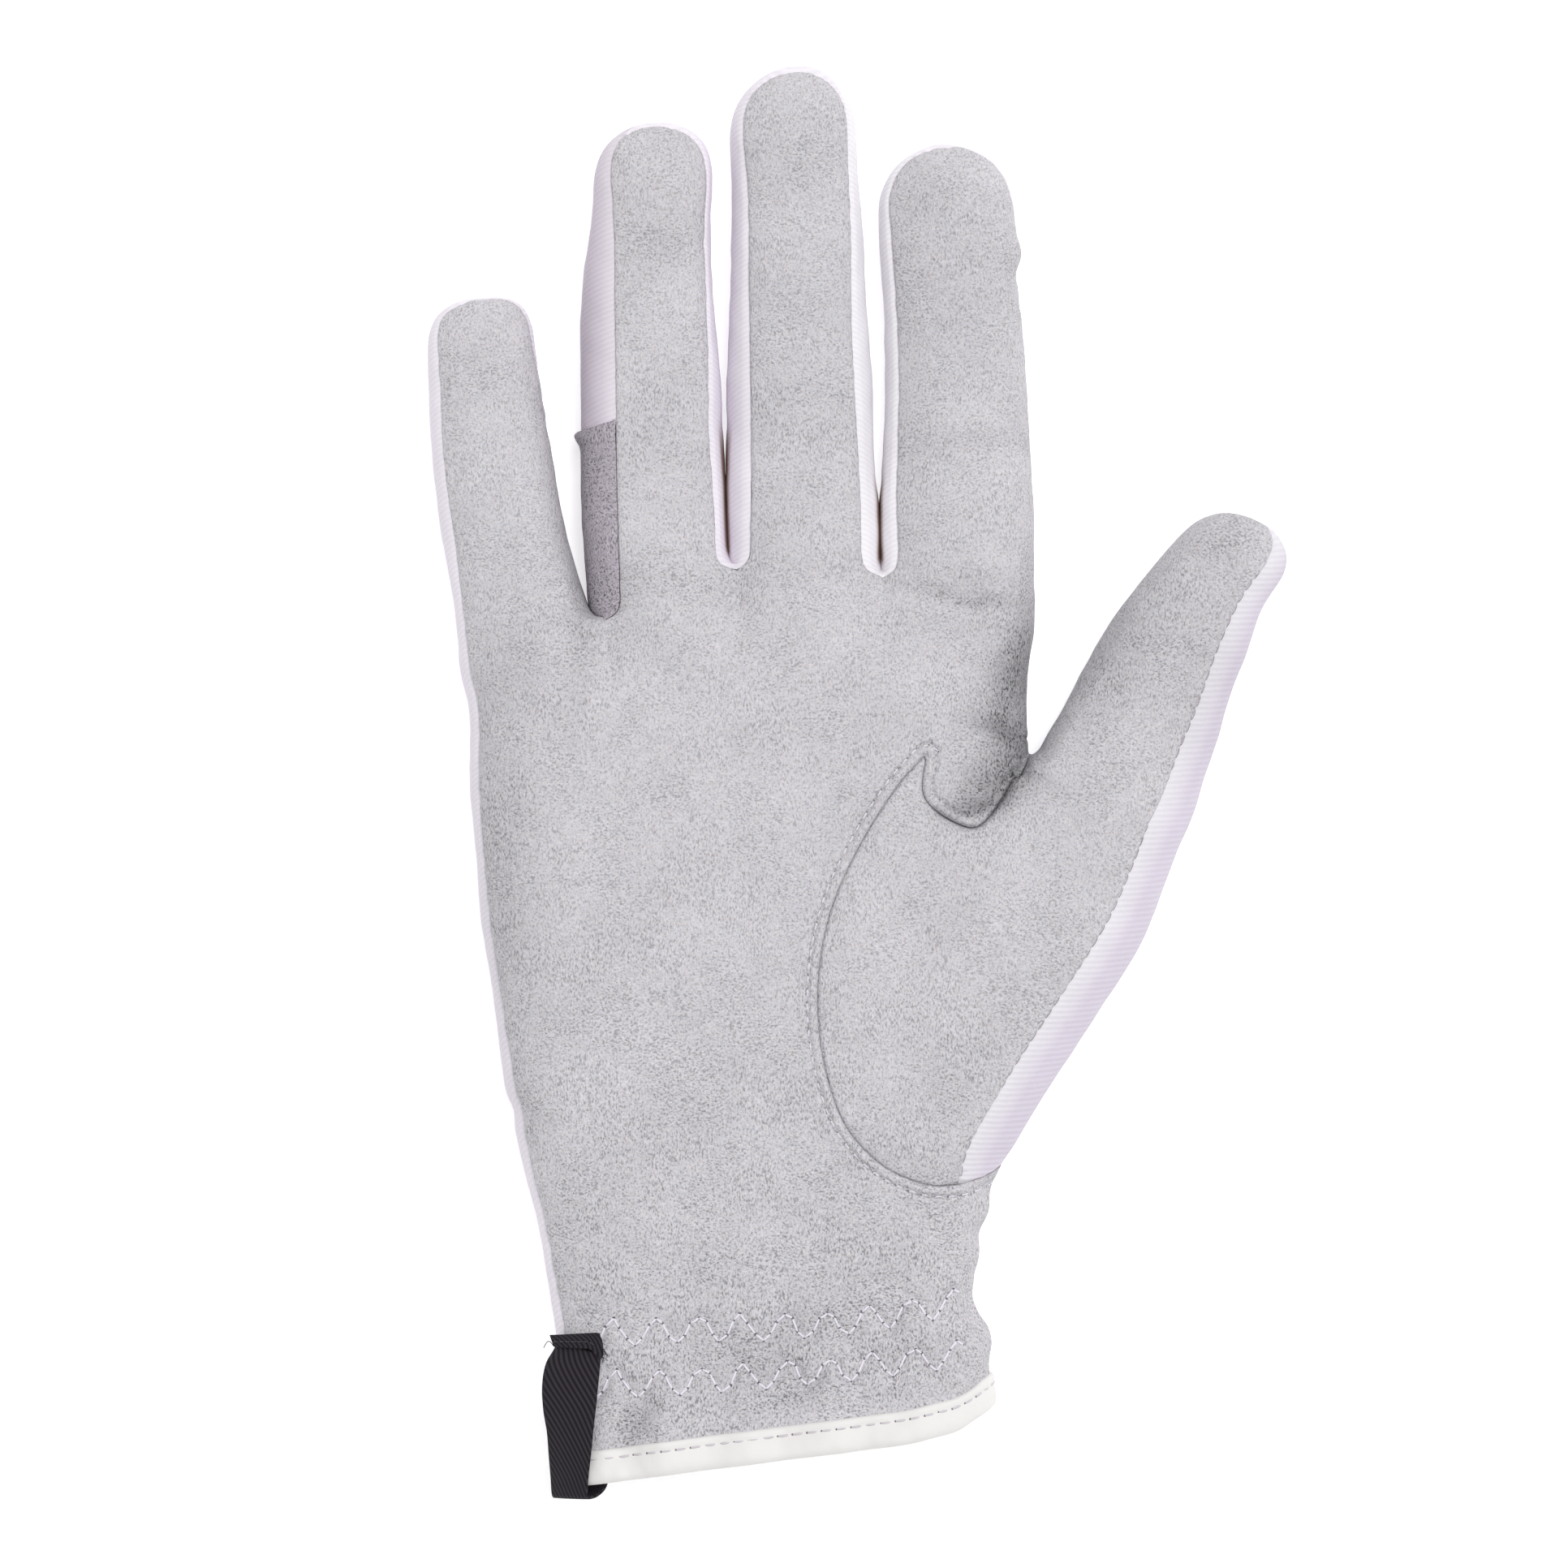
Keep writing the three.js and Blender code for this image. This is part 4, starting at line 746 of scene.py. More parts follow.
def distance_to_line(places, line, chunk=20000):
    starts, steps = line[:-1], np.diff(line, axis=0)
    lengths = np.maximum((steps**2).sum(1), 1e-12)
    out = np.empty(len(places))
    for i in range(0, len(places), chunk):
        offset = places[i : i + chunk, None, :] - starts[None]
        t = np.clip((offset * steps).sum(2) / lengths, 0, 1)
        near = offset - t[..., None] * steps
        out[i : i + chunk] = np.sqrt((near**2).sum(2).min(1))
    return out


def inside_loop(places, loop):
    x, y = places[:, 0], places[:, 1]
    inside = np.zeros(len(places), bool)
    for (x0, y0), (x1, y1) in zip(loop, np.roll(loop, -1, axis=0)):
        if y0 == y1:
            continue
        inside ^= ((y0 > y) != (y1 > y)) & (x < x0 + (y - y0) * (x1 - x0) / (y1 - y0))
    return inside


def hole_distance(places):
    out = np.full(len(places), FAR)
    inside = inside_loop(places, hole_loop)
    near = (places[:, 0] > seam_keys[:, 0].min() - 8) & (places[:, 1] < WEB[1] - ORIGIN[1] + 12)
    out[near] = distance_to_line(places[near], seam_line)
    return np.where(inside, -out, out)


# Painted shadow in the grooves where the walls of neighbouring fingers touch
GROOVE_WIDTH = 0.24
groove = np.zeros(len(points))
for number in range(3):
    for name in (f"slot{number}_left", f"slot{number}_right"):
        ids = regions[name]["ids"]
        line = points[ids[:, WALL_COLUMNS]]
        away = np.abs(points[ids][..., 0] - line[:, None, 0])
        hidden = -SLOT_GAPS[number] / 2
        deep = bell(np.maximum(away - hidden, 0), GROOVE_WIDTH)
        touching = ease((TOUCH_UP_TO[number] - line[:, 1]) / 7) * ease((line[:, 1] - line[0, 1] - 0.4) / 2)
        np.maximum.at(groove, ids.ravel(), (deep * touching[:, None]).ravel())

# Rims of the fingertips, where the twill comes round to the palm side: width, width on the thumb side,
# the place where the one becomes the other, and reach down from the tip.
RIMS = [(0.5, 0.22, -63.0, 18.0), (0.75, 0.75, 99.0, 30.0), (1.0, 1.0, 99.0, 30.0), (0.6, 0.22, 17.5, 22.0)]
RIM_FADE = 8.0
RIM_UNDERSIDE = 2.0
SUEDE_WALLS = {0: "slot0_left", 3: "slot3_left"}
tip_distances = [np.linalg.norm(points - (digit.tip - ORIGIN), axis=1) for digit in DIGITS]
tip_distance = np.min(tip_distances, axis=0)
rim_distance = np.full(len(points), FAR)


def rim_field(ids, number, outline, underside):
    """Distance from the rim's edge, negative on the rim. At the tip it takes in all of a wall's underside."""
    width, thumb_width, change, reach = RIMS[number]
    at_tip = ease((reach - tip_distances[number][ids]) / RIM_FADE)
    own_width = mix(thumb_width, width, ease((change - points[ids, 0]) / 3)) * at_tip
    away = distance_to_line(points[ids, :2], outline)
    below = RIM_UNDERSIDE * (1 - at_tip) * np.clip(away / 0.5, 0, 1) - away * at_tip - own_width
    return np.where(underside, below, away - own_width)


for number in range(len(RIMS)):
    left_name = "outer" if number == 0 else f"slot{number - 1}_right"
    base = hand_rows_of_outer if number == 0 else 0
    left_line = points[regions[left_name]["ids"][base:, WALL_COLUMNS]]
    right_line = points[regions[f"slot{number}_left"]["ids"][:, WALL_COLUMNS]]
    outline = np.vstack([left_line, right_line[::-1]])[:, :2]
    ids = np.unique(regions[f"top{number}"]["ids"])
    ids = ids[tip_distances[number][ids] < RIMS[number][3] + RIM_FADE]
    rim_distance[ids] = rim_field(ids, number, outline, False)
    if number in SUEDE_WALLS:
        grid = regions[SUEDE_WALLS[number]]["ids"]
        grid = grid[tip_distances[number][grid[:, 0]] < RIMS[number][3] + RIM_FADE]
        underside = np.broadcast_to(np.arange(grid.shape[1]) > WALL_COLUMNS, grid.shape)
        rim_distance[grid] = rim_field(grid.ravel(), number, outline, underside.ravel()).reshape(grid.shape)
# No seam is drawn where twill meets twill on a rim
NO_SEAM = 3.0
TIP_REACH = 38
for name in ("outer", "slot0_right", "slot1_left", "slot1_right", "slot2_left", "slot2_right"):
    grid = regions[name]["ids"]
    white = rim_distance[grid[:, 0]] < 0
    seam_distance[grid[white]] = np.maximum(seam_distance[grid[white]], NO_SEAM)
seam_distance = np.where(rim_distance < 0, np.maximum(seam_distance, NO_SEAM), seam_distance)

# Columns of the working arrays
X, Y, Z, NX, SEAM, THUMB, HOLE, TOP, RUN, WEAVE, RIM, GROOVE = 0, 1, 2, 3, 6, 7, 8, 9, 10, 11, 12, 13
seam_distance = np.minimum(seam_distance, np.where(tip_distance < TIP_REACH, np.abs(rim_distance), FAR))
topness = np.clip(normals[:, 2], 0, 1)
fields = np.column_stack([
    points, normals, seam_distance, thumb_seam_distance, hole_distance(points[:, :2]), topness, tip_distance,
    weave_across, rim_distance, groove,
])


def split(mesh, faces, column, level):
    """Cuts the triangles that cross a level of a field, so that the level becomes a row of edges."""
    value = mesh[:, column] - level
    value = np.where(np.abs(value) < 1e-6, 1e-6, value)
    side = value > 0
    crossing = side[faces].any(1) & ~side[faces].all(1)
    cut = faces[crossing]
    if not len(cut):
        return mesh, faces
    flags = side[cut]
    lone = np.where(flags.sum(1) == 1, flags.argmax(1), (~flags).argmax(1))
    rows = np.arange(len(cut))
    a, b, c = cut[rows, lone], cut[rows, (lone + 1) % 3], cut[rows, (lone + 2) % 3]
    pairs = np.vstack([np.column_stack([a, b]), np.column_stack([a, c])])
    unique, index = np.unique(np.sort(pairs, 1), axis=0, return_inverse=True)
    index = index.reshape(-1)
    t = value[unique[:, 0]] / (value[unique[:, 0]] - value[unique[:, 1]])
    fresh = mesh[unique[:, 0]] + (mesh[unique[:, 1]] - mesh[unique[:, 0]]) * t[:, None]
    fresh[:, column] = level
    ab, ac = len(mesh) + index[: len(cut)], len(mesh) + index[len(cut) :]
    added = np.vstack([np.column_stack(tri) for tri in ((a, ab, ac), (ab, b, c), (ab, c, ac))])
    return np.vstack([mesh, fresh]), np.vstack([faces[~crossing], added])


def cut_at(mesh, faces, column, levels):
    for level in levels:
        mesh, faces = split(mesh, faces, column, level)
    return mesh, faces


def take(names):
    """The triangles of some regions, with the rows of the working array that they use."""
    wanted = np.isin(triangle_region, [region_number[name] for name in names])
    faces = triangles[wanted]
    used, faces = np.unique(faces, return_inverse=True)
    return fields[used], faces.reshape(-1, 3)


def clip(mesh, faces, column, low=None, high=None):
    """Keeps what lies between two levels of a field."""
    for level, keep_above in ((low, True), (high, False)):
        if level is None:
            continue
        mesh, faces = split(mesh, faces, column, level)
        middle = mesh[faces, column].mean(1)
        faces = faces[middle > level] if keep_above else faces[middle < level]
    used, faces = np.unique(faces, return_inverse=True)
    return mesh[used], faces.reshape(-1, 3)


# Soft unevenness of the cloth, as sums of long and short waves that are the same every time.
def make_waves(seed, count, shortest, longest):
    rng = np.random.default_rng(seed)
    length = np.exp(rng.uniform(math.log(shortest), math.log(longest), count))
    turn, tilt = rng.uniform(0, 2 * math.pi, count), rng.uniform(-1, 1, count)
    flat = np.sqrt(1 - tilt**2)
    direction = np.column_stack([np.cos(turn) * flat, np.sin(turn) * flat, tilt])
    return direction * (2 * math.pi / length)[:, None], rng.uniform(0, 2 * math.pi, count)


def waves(places, made):
    vectors, phases = made
    out = np.zeros(len(places))
    for vector, phase in zip(vectors, phases):
        out += np.sin(places @ vector + phase)
    return out / math.sqrt(len(phases))


LONG_WAVES = make_waves(3, 26, 14, 45)
SHORT_WAVES = make_waves(5, 40, 4, 11)
PUCKER_WAVES = make_waves(9, 30, 1.6, 4)


def sum_of_folds(x, y, folds):
    depth = np.zeros(len(x))
    for k in range(len(folds["x"])):
        turn = math.radians(folds["turn"][k])
        dx, dy = x - folds["x"][k], y - folds["y"][k]
        along = dx * math.cos(turn) + dy * math.sin(turn)
        across = dy * math.cos(turn) - dx * math.sin(turn)
        bend = 0.06 * along * np.sin(along / 5 + k)
        shape = np.exp(-((2 * along / folds["length"][k]) ** 2) - ((across + bend) / folds["width"][k]) ** 2)
        depth += folds["depth"][k] * shape
    return depth


def nick_height(x, y):
    height = np.zeros(len(x))
    for k in range(len(NICKS["x"])):
        away = ((x - NICKS["x"][k]) ** 2 + (y - NICKS["y"][k]) ** 2) / NICKS["radius"][k] ** 2
        height += NICKS["height"][k] * np.exp(-away)
    return height


# Zigzag rows of the wrist elastic: the middle line from the little finger's side to the thumb's side.
ZIGZAG_ROWS = [
    table("x y", [[-43.5, -90.6], [-26, -89.6], [-11.7, -89.2], [2.3, -87.9], [14.5, -85.5], [17.6, -84.6]]),
    table("x y", [[-43, -99.0], [-27, -98.1], [-13.7, -97.1], [-0.7, -95.9], [13, -94.2], [18, -93.2]]),
]
# A zigzag's length and height, its stitches up or down, and how far its points stray
ZIGZAG_LENGTH = 7.0
ZIGZAG_HEIGHT = 4.2
ZIGZAG_STEPS = 3
ZIGZAG_STRAY = np.array([0.22, 0.18])
ZIGZAG_STRAY_HEIGHT = 0.12
# The cloth sinks along a zigzag and swells beside it
ZIGZAG_SINK, ZIGZAG_SINK_WIDTH = 0.46, 0.75
ZIGZAG_RIDGE, ZIGZAG_RIDGE_AT, ZIGZAG_RIDGE_WIDTH = 0.16, 1.9, 1.1


def zigzag_points(rows):
    line = spline(np.column_stack([rows["x"], rows["y"]]), 400)
    lengths = run_lengths(line)
    steps = int(lengths[-1] / (ZIGZAG_LENGTH / (2 * ZIGZAG_STEPS)))
    at = np.arange(steps + 1) * ZIGZAG_LENGTH / (2 * ZIGZAG_STEPS)
    phase = np.arange(steps + 1) % (2 * ZIGZAG_STEPS) / ZIGZAG_STEPS
    level = np.sin((1 - 2 * np.abs(phase - 1)) * math.pi / 2)
    stray = np.random.default_rng(len(at)).uniform(-1, 1, (2, len(at)))
    places = read_line(line, lengths, at) + stray.T * ZIGZAG_STRAY
    places[:, 1] += level * ZIGZAG_HEIGHT / 2 * (1 + ZIGZAG_STRAY_HEIGHT * stray[1])
    return places


zigzags = [zigzag_points(rows) for rows in ZIGZAG_ROWS]

# Displacement of the palm side
LONG_HEIGHT = 0.22
SHORT_HEIGHT = 0.05
SEAM_ROLL = 0.5
SEAM_ROLL_WIDTH = 0.75
# Below this height the cloth lies flatter on the table
FLAT_BELOW = 0.5
# The gathered wrist: where it starts, over how much, and where the zigzags are looked for
WRIST_FROM, WRIST_FADE, ZIGZAG_FROM = -72, 14, -70
# The folded edge of the thumb hole: how far its stitch groove is from the seam, and where it changes
FOLD_EDGE = 1.65
EDGE_FADE = 5
CROTCH_MEET = 0.3
OUTLINE_FROM = (16, -50)
FLAT_AT_OUTLINE = 0.85
TONGUE_FROM = (11.5, -14)


def roll(distance, radius):
    """How far a folded edge has turned down at a distance from its seam, from 1 at the seam to 0."""
    share = np.clip(distance / radius, 0, 1)
    return 1 - np.sqrt(1 - (1 - share) ** 2)


def cloth_offset(mesh, pucker=0.05):
    """Height of the soft cloth above the plain surface, with its seams drawn in."""
    places = mesh[:, X : Z + 1]
    x, y, z = places.T
    flat = np.clip(1 - (FLAT_BELOW - z) / FLAT_BELOW, 0, 1)
    offset = (LONG_HEIGHT * waves(places, LONG_WAVES) + SHORT_HEIGHT * waves(places, SHORT_WAVES)) * flat
    offset += nick_height(x, y) * flat
    near_tip = ease(mesh[:, RUN] / 3)
    seam = mesh[:, SEAM]
    patch_seam = ease((60 - y) / 4) * ease((-36 - x) / 3) * ease((y - 20) / 4)
    offset -= SEAM_ROLL * (1 - 0.55 * patch_seam) * roll(seam, SEAM_ROLL_WIDTH) * near_tip
    offset += pucker * waves(places, PUCKER_WAVES) * bell(seam, 2.2) * near_tip
    return offset


def palm_offset(mesh):
    places = mesh[:, X : Z + 1]
    offset = cloth_offset(mesh)
    offset -= sum_of_folds(places[:, 0], places[:, 1], FOLDS) * mesh[:, TOP]
    wrist = ease((WRIST_FROM - places[:, 1]) / WRIST_FADE)
    near = (places[:, 1] < ZIGZAG_FROM) & (mesh[:, TOP] > 0.2)
    for line in zigzags:
        distance = distance_to_line(places[near, :2], line)
        ridge = ZIGZAG_RIDGE * bell(distance - ZIGZAG_RIDGE_AT, ZIGZAG_RIDGE_WIDTH)
        offset[near] += ridge - ZIGZAG_SINK * bell(distance, ZIGZAG_SINK_WIDTH)
    offset += wrist * 0.2 * waves(places * np.array([1, 0.45, 1]), SHORT_WAVES)
    offset += wrist * 0.05 * waves(places, PUCKER_WAVES)
    return offset


def from_crotch(mesh):
    """From 0 at the thumb's crotch, where all edges meet, to 1 a few millimetres away."""
    crotch = THUMB_CROTCH_END - ORIGIN[:2]
    return ease((np.hypot(mesh[:, X] - crotch[0], mesh[:, Y] - crotch[1]) - CROTCH_MEET) / EDGE_FADE)


def before_outline(mesh):
    """From 1 to a small part where the lower seam of the thumb hole reaches the outline and lies flat."""
    to_right = ease((mesh[:, X] - OUTLINE_FROM[0]) / EDGE_FADE)
    return 1 - FLAT_AT_OUTLINE * to_right * ease((OUTLINE_FROM[1] - mesh[:, Y]) / EDGE_FADE)


def palm_edge_offset(mesh):
    """The folded edge that lies over the thumb panel, with its stitch groove."""
    away = mesh[:, HOLE]
    ridge = 0.36 * bell(away - 0.8, 0.6) - 0.3 * bell(away - FOLD_EDGE, 0.3)
    swell = 0.2 * bell(away - FOLD_EDGE - 0.8, 0.8)
    lump = 0.09 * waves(mesh[:, X : Z + 1], PUCKER_WAVES) * bell(away - 0.8, 0.7)
    turned = mix(0.42, 1.05, on_tongue(mesh)) * roll(away, 0.5)
    return (ridge + swell + lump - turned) * from_crotch(mesh) * before_outline(mesh)


def on_tongue(mesh):
    """How much a point belongs to the tongue, whose edge stands higher above the thumb panel."""
    return ease((mesh[:, X] - TONGUE_FROM[0]) / 2.5) * ease((mesh[:, Y] - TONGUE_FROM[1]) / 4)


def thumb_edge_offset(mesh):
    into = np.clip(-mesh[:, HOLE], 0, 99)
    edge = mix(0.5, 1.4, on_tongue(mesh)) * np.exp(-into / 0.4) + 0.3 * bell(into, 2.4)
    return -edge * from_crotch(mesh) * before_outline(mesh) - 0.3 * ease(mesh[:, HOLE] / 0.3)


def twill_offset(mesh):
    return cloth_offset(mesh, 0.03)


def loop_faces(rows, width):
    """Faces between the rows of a closed band of points."""
    i, k = np.meshgrid(np.arange(rows - 1) * width, np.arange(width), indexing="ij")
    m = (k + 1) % width
    return np.stack([i + k, i + width + k, i + width + m, i + m], -1).reshape(-1, 4)


def add_piece(name, places, faces, replaced=(), attributes=None, gap=THREAD_GAP):
    """A smooth piece on the body, kept above the table, in place of some of the source's nodes."""
    mesh = bpy.data.meshes.new(name)
    mesh.from_pydata((above_table(places, gap) * MM).tolist(), [], faces)
    mesh.polygons.foreach_set("use_smooth", np.ones(len(mesh.polygons), bool))
    for label, values in (attributes or {}).items():
        kind, field = ("FLOAT_VECTOR", "vector") if values.ndim == 2 else ("FLOAT", "value")
        layer = mesh.attributes.new(label, kind, "POINT")
        layer.data.foreach_set(field, values.astype(np.float32).ravel())
    mesh.update()
    obj = bpy.data.objects.new(name, mesh)
    bpy.context.scene.collection.objects.link(obj)
    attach(obj, "root")
    if replaced:
        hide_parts(*replaced)
    return obj


def cloth_piece(name, mesh, faces, offset, replaced):
    """A panel, moved out along its normals, with the fields that its material reads."""
    attributes = {
        "seam": np.clip(mesh[:, SEAM], -9, 9),
        "hole": np.clip(mesh[:, HOLE], -9, 9),
        "groove": np.clip(mesh[:, GROOVE], 0, 1),
        # Painted shade, and painted light where negative, from the table of painted shade
        "shade": sum_of_folds(mesh[:, X], mesh[:, Y], PAINTED_SHADES) * ease((mesh[:, TOP] + 0.3) / 0.5),
        "weave": np.column_stack([mesh[:, WEAVE], mesh[:, Y], np.zeros(len(mesh))]),
    }
    places = mesh[:, X : Z + 1] + mesh[:, NX : NX + 3] * offset[:, None]
    return add_piece(name, places, faces.tolist(), replaced, attributes, CLOTH_GAP)


# Panels, with rows of edges where their folded edges bend
SUEDE_REGIONS = [f"top{number}" for number in range(5)] + ["slot0_left", "slot3_left", "slot3_right"]
THUMB_REGIONS = ["thumb_wall", "back4"]
HOLE_LAP = 0.9
PALM_BENDS = (0.1, 0.25, 0.42, 0.62, 0.85, 1.1, 1.35, 1.65, 1.95, 2.3, 2.8, 3.5)
SUEDE_BENDS = (-3.0, -2.0, -1.3, -0.8, -0.4, -0.15, 0.1, 0.4)
TWILL_BENDS = (-2.0, -1.0, -0.4, 0.1)

mesh, faces = clip(*take(SUEDE_REGIONS + THUMB_REGIONS), HOLE, low=0.0)
mesh, faces = cut_at(*clip(mesh, faces, RIM, low=0.0), RIM, (0.15, 0.35, 0.6, 0.9))
mesh, faces = cut_at(mesh, faces, HOLE, PALM_BENDS)
offset = palm_offset(mesh) + palm_edge_offset(mesh)
palm = cloth_piece("palm_suede", mesh, faces, offset, ["palm_panel"])

for name, names, bends, cloth, slot, node in (
    ("thumb_suede", SUEDE_REGIONS, SUEDE_BENDS, palm_offset, "grey_suede", "thumb_panel"),
    ("thumb_twill", THUMB_REGIONS, TWILL_BENDS, twill_offset, "white_twill", "thumb_back"),
):
    mesh, faces = cut_at(*clip(*take(names), HOLE, high=HOLE_LAP), HOLE, bends)
    mesh[:, SEAM] = np.minimum(mesh[:, SEAM], mesh[:, THUMB])
    cloth_piece(name, mesh, faces, cloth(mesh) + thumb_edge_offset(mesh), [node])

mesh, faces = take([f"back{number}" for number in range(4)] + ["outer"])
cloth_piece("back_twill", mesh, faces, twill_offset(mesh), ["back_panel"])

mesh, faces = take([f"top{number}" for number in range(len(RIMS))] + list(SUEDE_WALLS.values()))
mesh, faces = clip(mesh, faces, RIM, high=0.0)
mesh, faces = cut_at(mesh, faces, RIM, (-0.6, -0.35, -0.15))
mesh[:, WEAVE] = mesh[:, RIM]
cloth_piece("fingertip_rims", mesh, faces, twill_offset(mesh), [])

# The patch ends at a slanted line: its height at the finger's outline, and how much it climbs to the right
PATCH_TOP = 57.3
PATCH_SLOPE = 0.3
PATCH_OUTLINE = -46.3
side_mesh, side_faces = take(["slot0_right"])
side_mesh[:, RIM] = PATCH_TOP + PATCH_SLOPE * (side_mesh[:, X] - PATCH_OUTLINE) - side_mesh[:, Y]
mesh, faces = clip(side_mesh, side_faces, RIM, high=0.8)
offset = twill_offset(mesh) - 0.3 * ease(mesh[:, RIM] / 0.4)
cloth_piece("fourchette_little_ring_twill", mesh, faces, offset, ["fourchette_little_ring"])
mesh, faces = cut_at(*clip(side_mesh, side_faces, RIM, low=0.0), RIM, (0.2, 0.5, 1.0, 1.6, 2.4, 4.0))
below = mesh[:, RIM]
corner = ease((PATCH_OUTLINE + 3 - mesh[:, X]) / 2.5)
lip = mix(0.25, 1.15, corner) * bell(below - 0.9, 1.3)
lip -= mix(0.55, 0.9, corner) * roll(below, 0.6)
offset = cloth_offset(mesh, 0.05) + 0.15 + lip * ease(mesh[:, SEAM] / 0.8)
cloth_piece("patch_cloth", mesh, faces, offset, ["finger_patch"])

for number, name in ((1, "fourchette_ring_middle"), (2, "fourchette_middle_index")):
    mesh, faces = take([f"slot{number}_left", f"slot{number}_right"])
    cloth_piece(name + "_twill", mesh, faces, twill_offset(mesh), [name])


# Small things sewn on: threads, binding and label
def tube(path, radius, sides=6):
    """Points and faces of a thread along a path."""
    tangent = unit(np.gradient(path, axis=0))
    side = unit(np.cross(tangent, SLANTED_UP))
    other = np.cross(side, tangent)
    turn = np.linspace(0, 2 * math.pi, sides, endpoint=False)[:, None]
    places = path[:, None] + radius * (np.cos(turn) * side[:, None] + np.sin(turn) * other[:, None])
    faces = np.roll(loop_faces(len(path), sides)[:, ::-1], 1, axis=1).tolist()
    ends = [list(range(sides))[::-1], list(range((len(path) - 1) * sides, len(path) * sides))]
    return places.reshape(-1, 3), faces + ends


class Threads:
    """Many stitches joined into one piece."""

    def __init__(self):
        self.points, self.faces, self.count = [], [], 0

    def add(self, places, faces):
        self.points.append(places)
        self.faces += [[v + self.count for v in face] for face in faces]
        self.count += len(places)

    def hole(self, place, up, radius):
        """The painted shadow of a needle hole: a small dark disc that lies in the cloth."""
        side = unit(np.cross(up, [0.3, 0.9, 0.1]))
        turn = np.linspace(0, 2 * math.pi, 7)[:-1, None]
        rim = radius * (np.cos(turn) * side + np.sin(turn) * np.cross(up, side))
        self.add(place + HOLE_LIFT * up + rim, [range(6)])

    def stitch(self, start, end, radius, height, sunk):
        """A stitch between two places with their normals, out of the cloth and back in at its end."""
        t = np.linspace(0, 1, 8)[:, None]
        run = start + (end - start) * t
        rise = (height + sunk) * np.sin(math.pi * t) ** 0.6 - sunk
        self.add(*tube(run[:, :3] + run[:, 3:] * rise, radius))

    def sew(self, pairs, radius, height, sunk, hole=0.0, deeper=0.0):
        """A stitch for each pair of places, with a dark disc of painted shadow for a needle hole where it
        starts.
        """
        for start, end in pairs:
            if start is None or end is None:
                continue
            self.stitch(start, end, radius, height, sunk)
            if hole:
                needle_holes.hole(start[:3] - deeper * start[3:], unit(start[3:]), hole)

    def build(self, name):
        add_piece(name, np.vstack(self.points), self.faces)


def surface_finder(obj):
    """A function from a place in plan to the cloth of a piece there, with its normal."""
    corners = np.empty(len(obj.data.vertices) * 3)
    obj.data.vertices.foreach_get("co", corners)
    index = np.empty(len(obj.data.loops), np.int32)
    obj.data.loops.foreach_get("vertex_index", index)
    tree = BVHTree.FromPolygons((corners.reshape(-1, 3) / MM).tolist(), index.reshape(-1, 3).tolist())

    def find(x, y):
        place, normal, _, _ = tree.ray_cast(Vector((x, y, 60.0)), Vector((0, 0, -1)))
        return None if place is None else np.array([*place, *normal])

    return find


def spaced_pairs(line, pitch, share):
    """Starts and ends of stitches along a line: the pitch, and the share of it that a stitch covers."""
    lengths = run_lengths(line)
    at = read_line(line, lengths, np.arange(0, lengths[-1], pitch))
    return [(a, a + (b - a) * share) for a, b in zip(at[:-1], at[1:])]


SLANTED_UP = [0.13, 0.21, 1.0]
HOLE_LIFT = 0.03
on_palm = surface_finder(palm)
# Dark discs of painted shadow in the needle holes of the stitches
needle_holes = Threads()

# Zigzags of the wrist elastic
zigzag_threads = Threads()
for row in zigzags:
    found = [on_palm(*place) for place in row]
    zigzag_threads.sew(zip(found[:-1], found[1:]), radius=0.19, height=0.14, sunk=0.34, hole=0.3)
zigzag_threads.build("wrist_stitches")

# Stitch line beside the thumb hole, with its turn round the spike's end
hole_threads = Threads()
direction = unit(np.gradient(mound_line, axis=0))
beside = mound_line + np.column_stack([direction[:, 1], -direction[:, 0]]) * FOLD_EDGE
beside = np.vstack([seam_keys[SPIKE] + np.array([[1.9, 0.2], [1.2, 1.3]]), beside])
pairs = [(on_palm(*a), on_palm(*b)) for a, b in spaced_pairs(beside, 2.2, 0.6)]
hole_threads.sew(pairs, radius=0.1, height=0.08, sunk=0.22, hole=0.16)
hole_threads.build("thumb_hole_stitches")

# Stitches along the seam between the suede and the twill of the thumb
thumb_threads = Threads()
ids = regions["top4"]["ids"][:, -1]
seam_run = np.hstack([points[ids] - normals[ids] * (0.5 * SEAM_ROLL), normals[ids]])
seam_run = seam_run[hole_distance(seam_run[:, :2]) < -1.0]
thumb_threads.sew(spaced_pairs(seam_run, 2.3, 0.72), radius=0.055, height=0.03, sunk=0.2)
thumb_threads.build("thumb_seam_stitches")


# Binding: a closed profile led round the hem, whose ring holds places and the directions outwards and upwards
def cloth_place(ids):
    return points[ids] + normals[ids] * palm_offset(fields[ids])[:, None]


def soften(values, rounds):
    for _ in range(rounds):
        values = (np.roll(values, 1, 0) + 2 * values + np.roll(values, -1, 0)) / 4
    return values


RING = 560
HEM_ROW, UPPER_ROW = 0, 6
# The hem's thumb end hangs in a rounder curve than the straight cut: its depth, its middle and its width
HEM_DROP, HEM_DROP_AT, HEM_DROP_WIDTH = 1.1, 16.5, 3.6
BINDING_PROFILE = spline([
    [-0.1, 4.45], [0.35, 4.5], [0.74, 4.2], [0.84, 3.6], [0.76, 3.0], [0.92, 2.4], [1.12, 1.5],
    [1.2, 0.5], [1.05, -0.4], [0.55, -0.95], [-0.3, -1.1], [-1.2, -1.0], [-2.0, -0.4], [-2.3, 0.8],
    [-2.3, 2.4], [-2.2, 3.8], [-1.9, 4.4], [-1.5, 4.3],
], 44)
STITCH_OUT, STITCH_UP = 0.78, 3.0

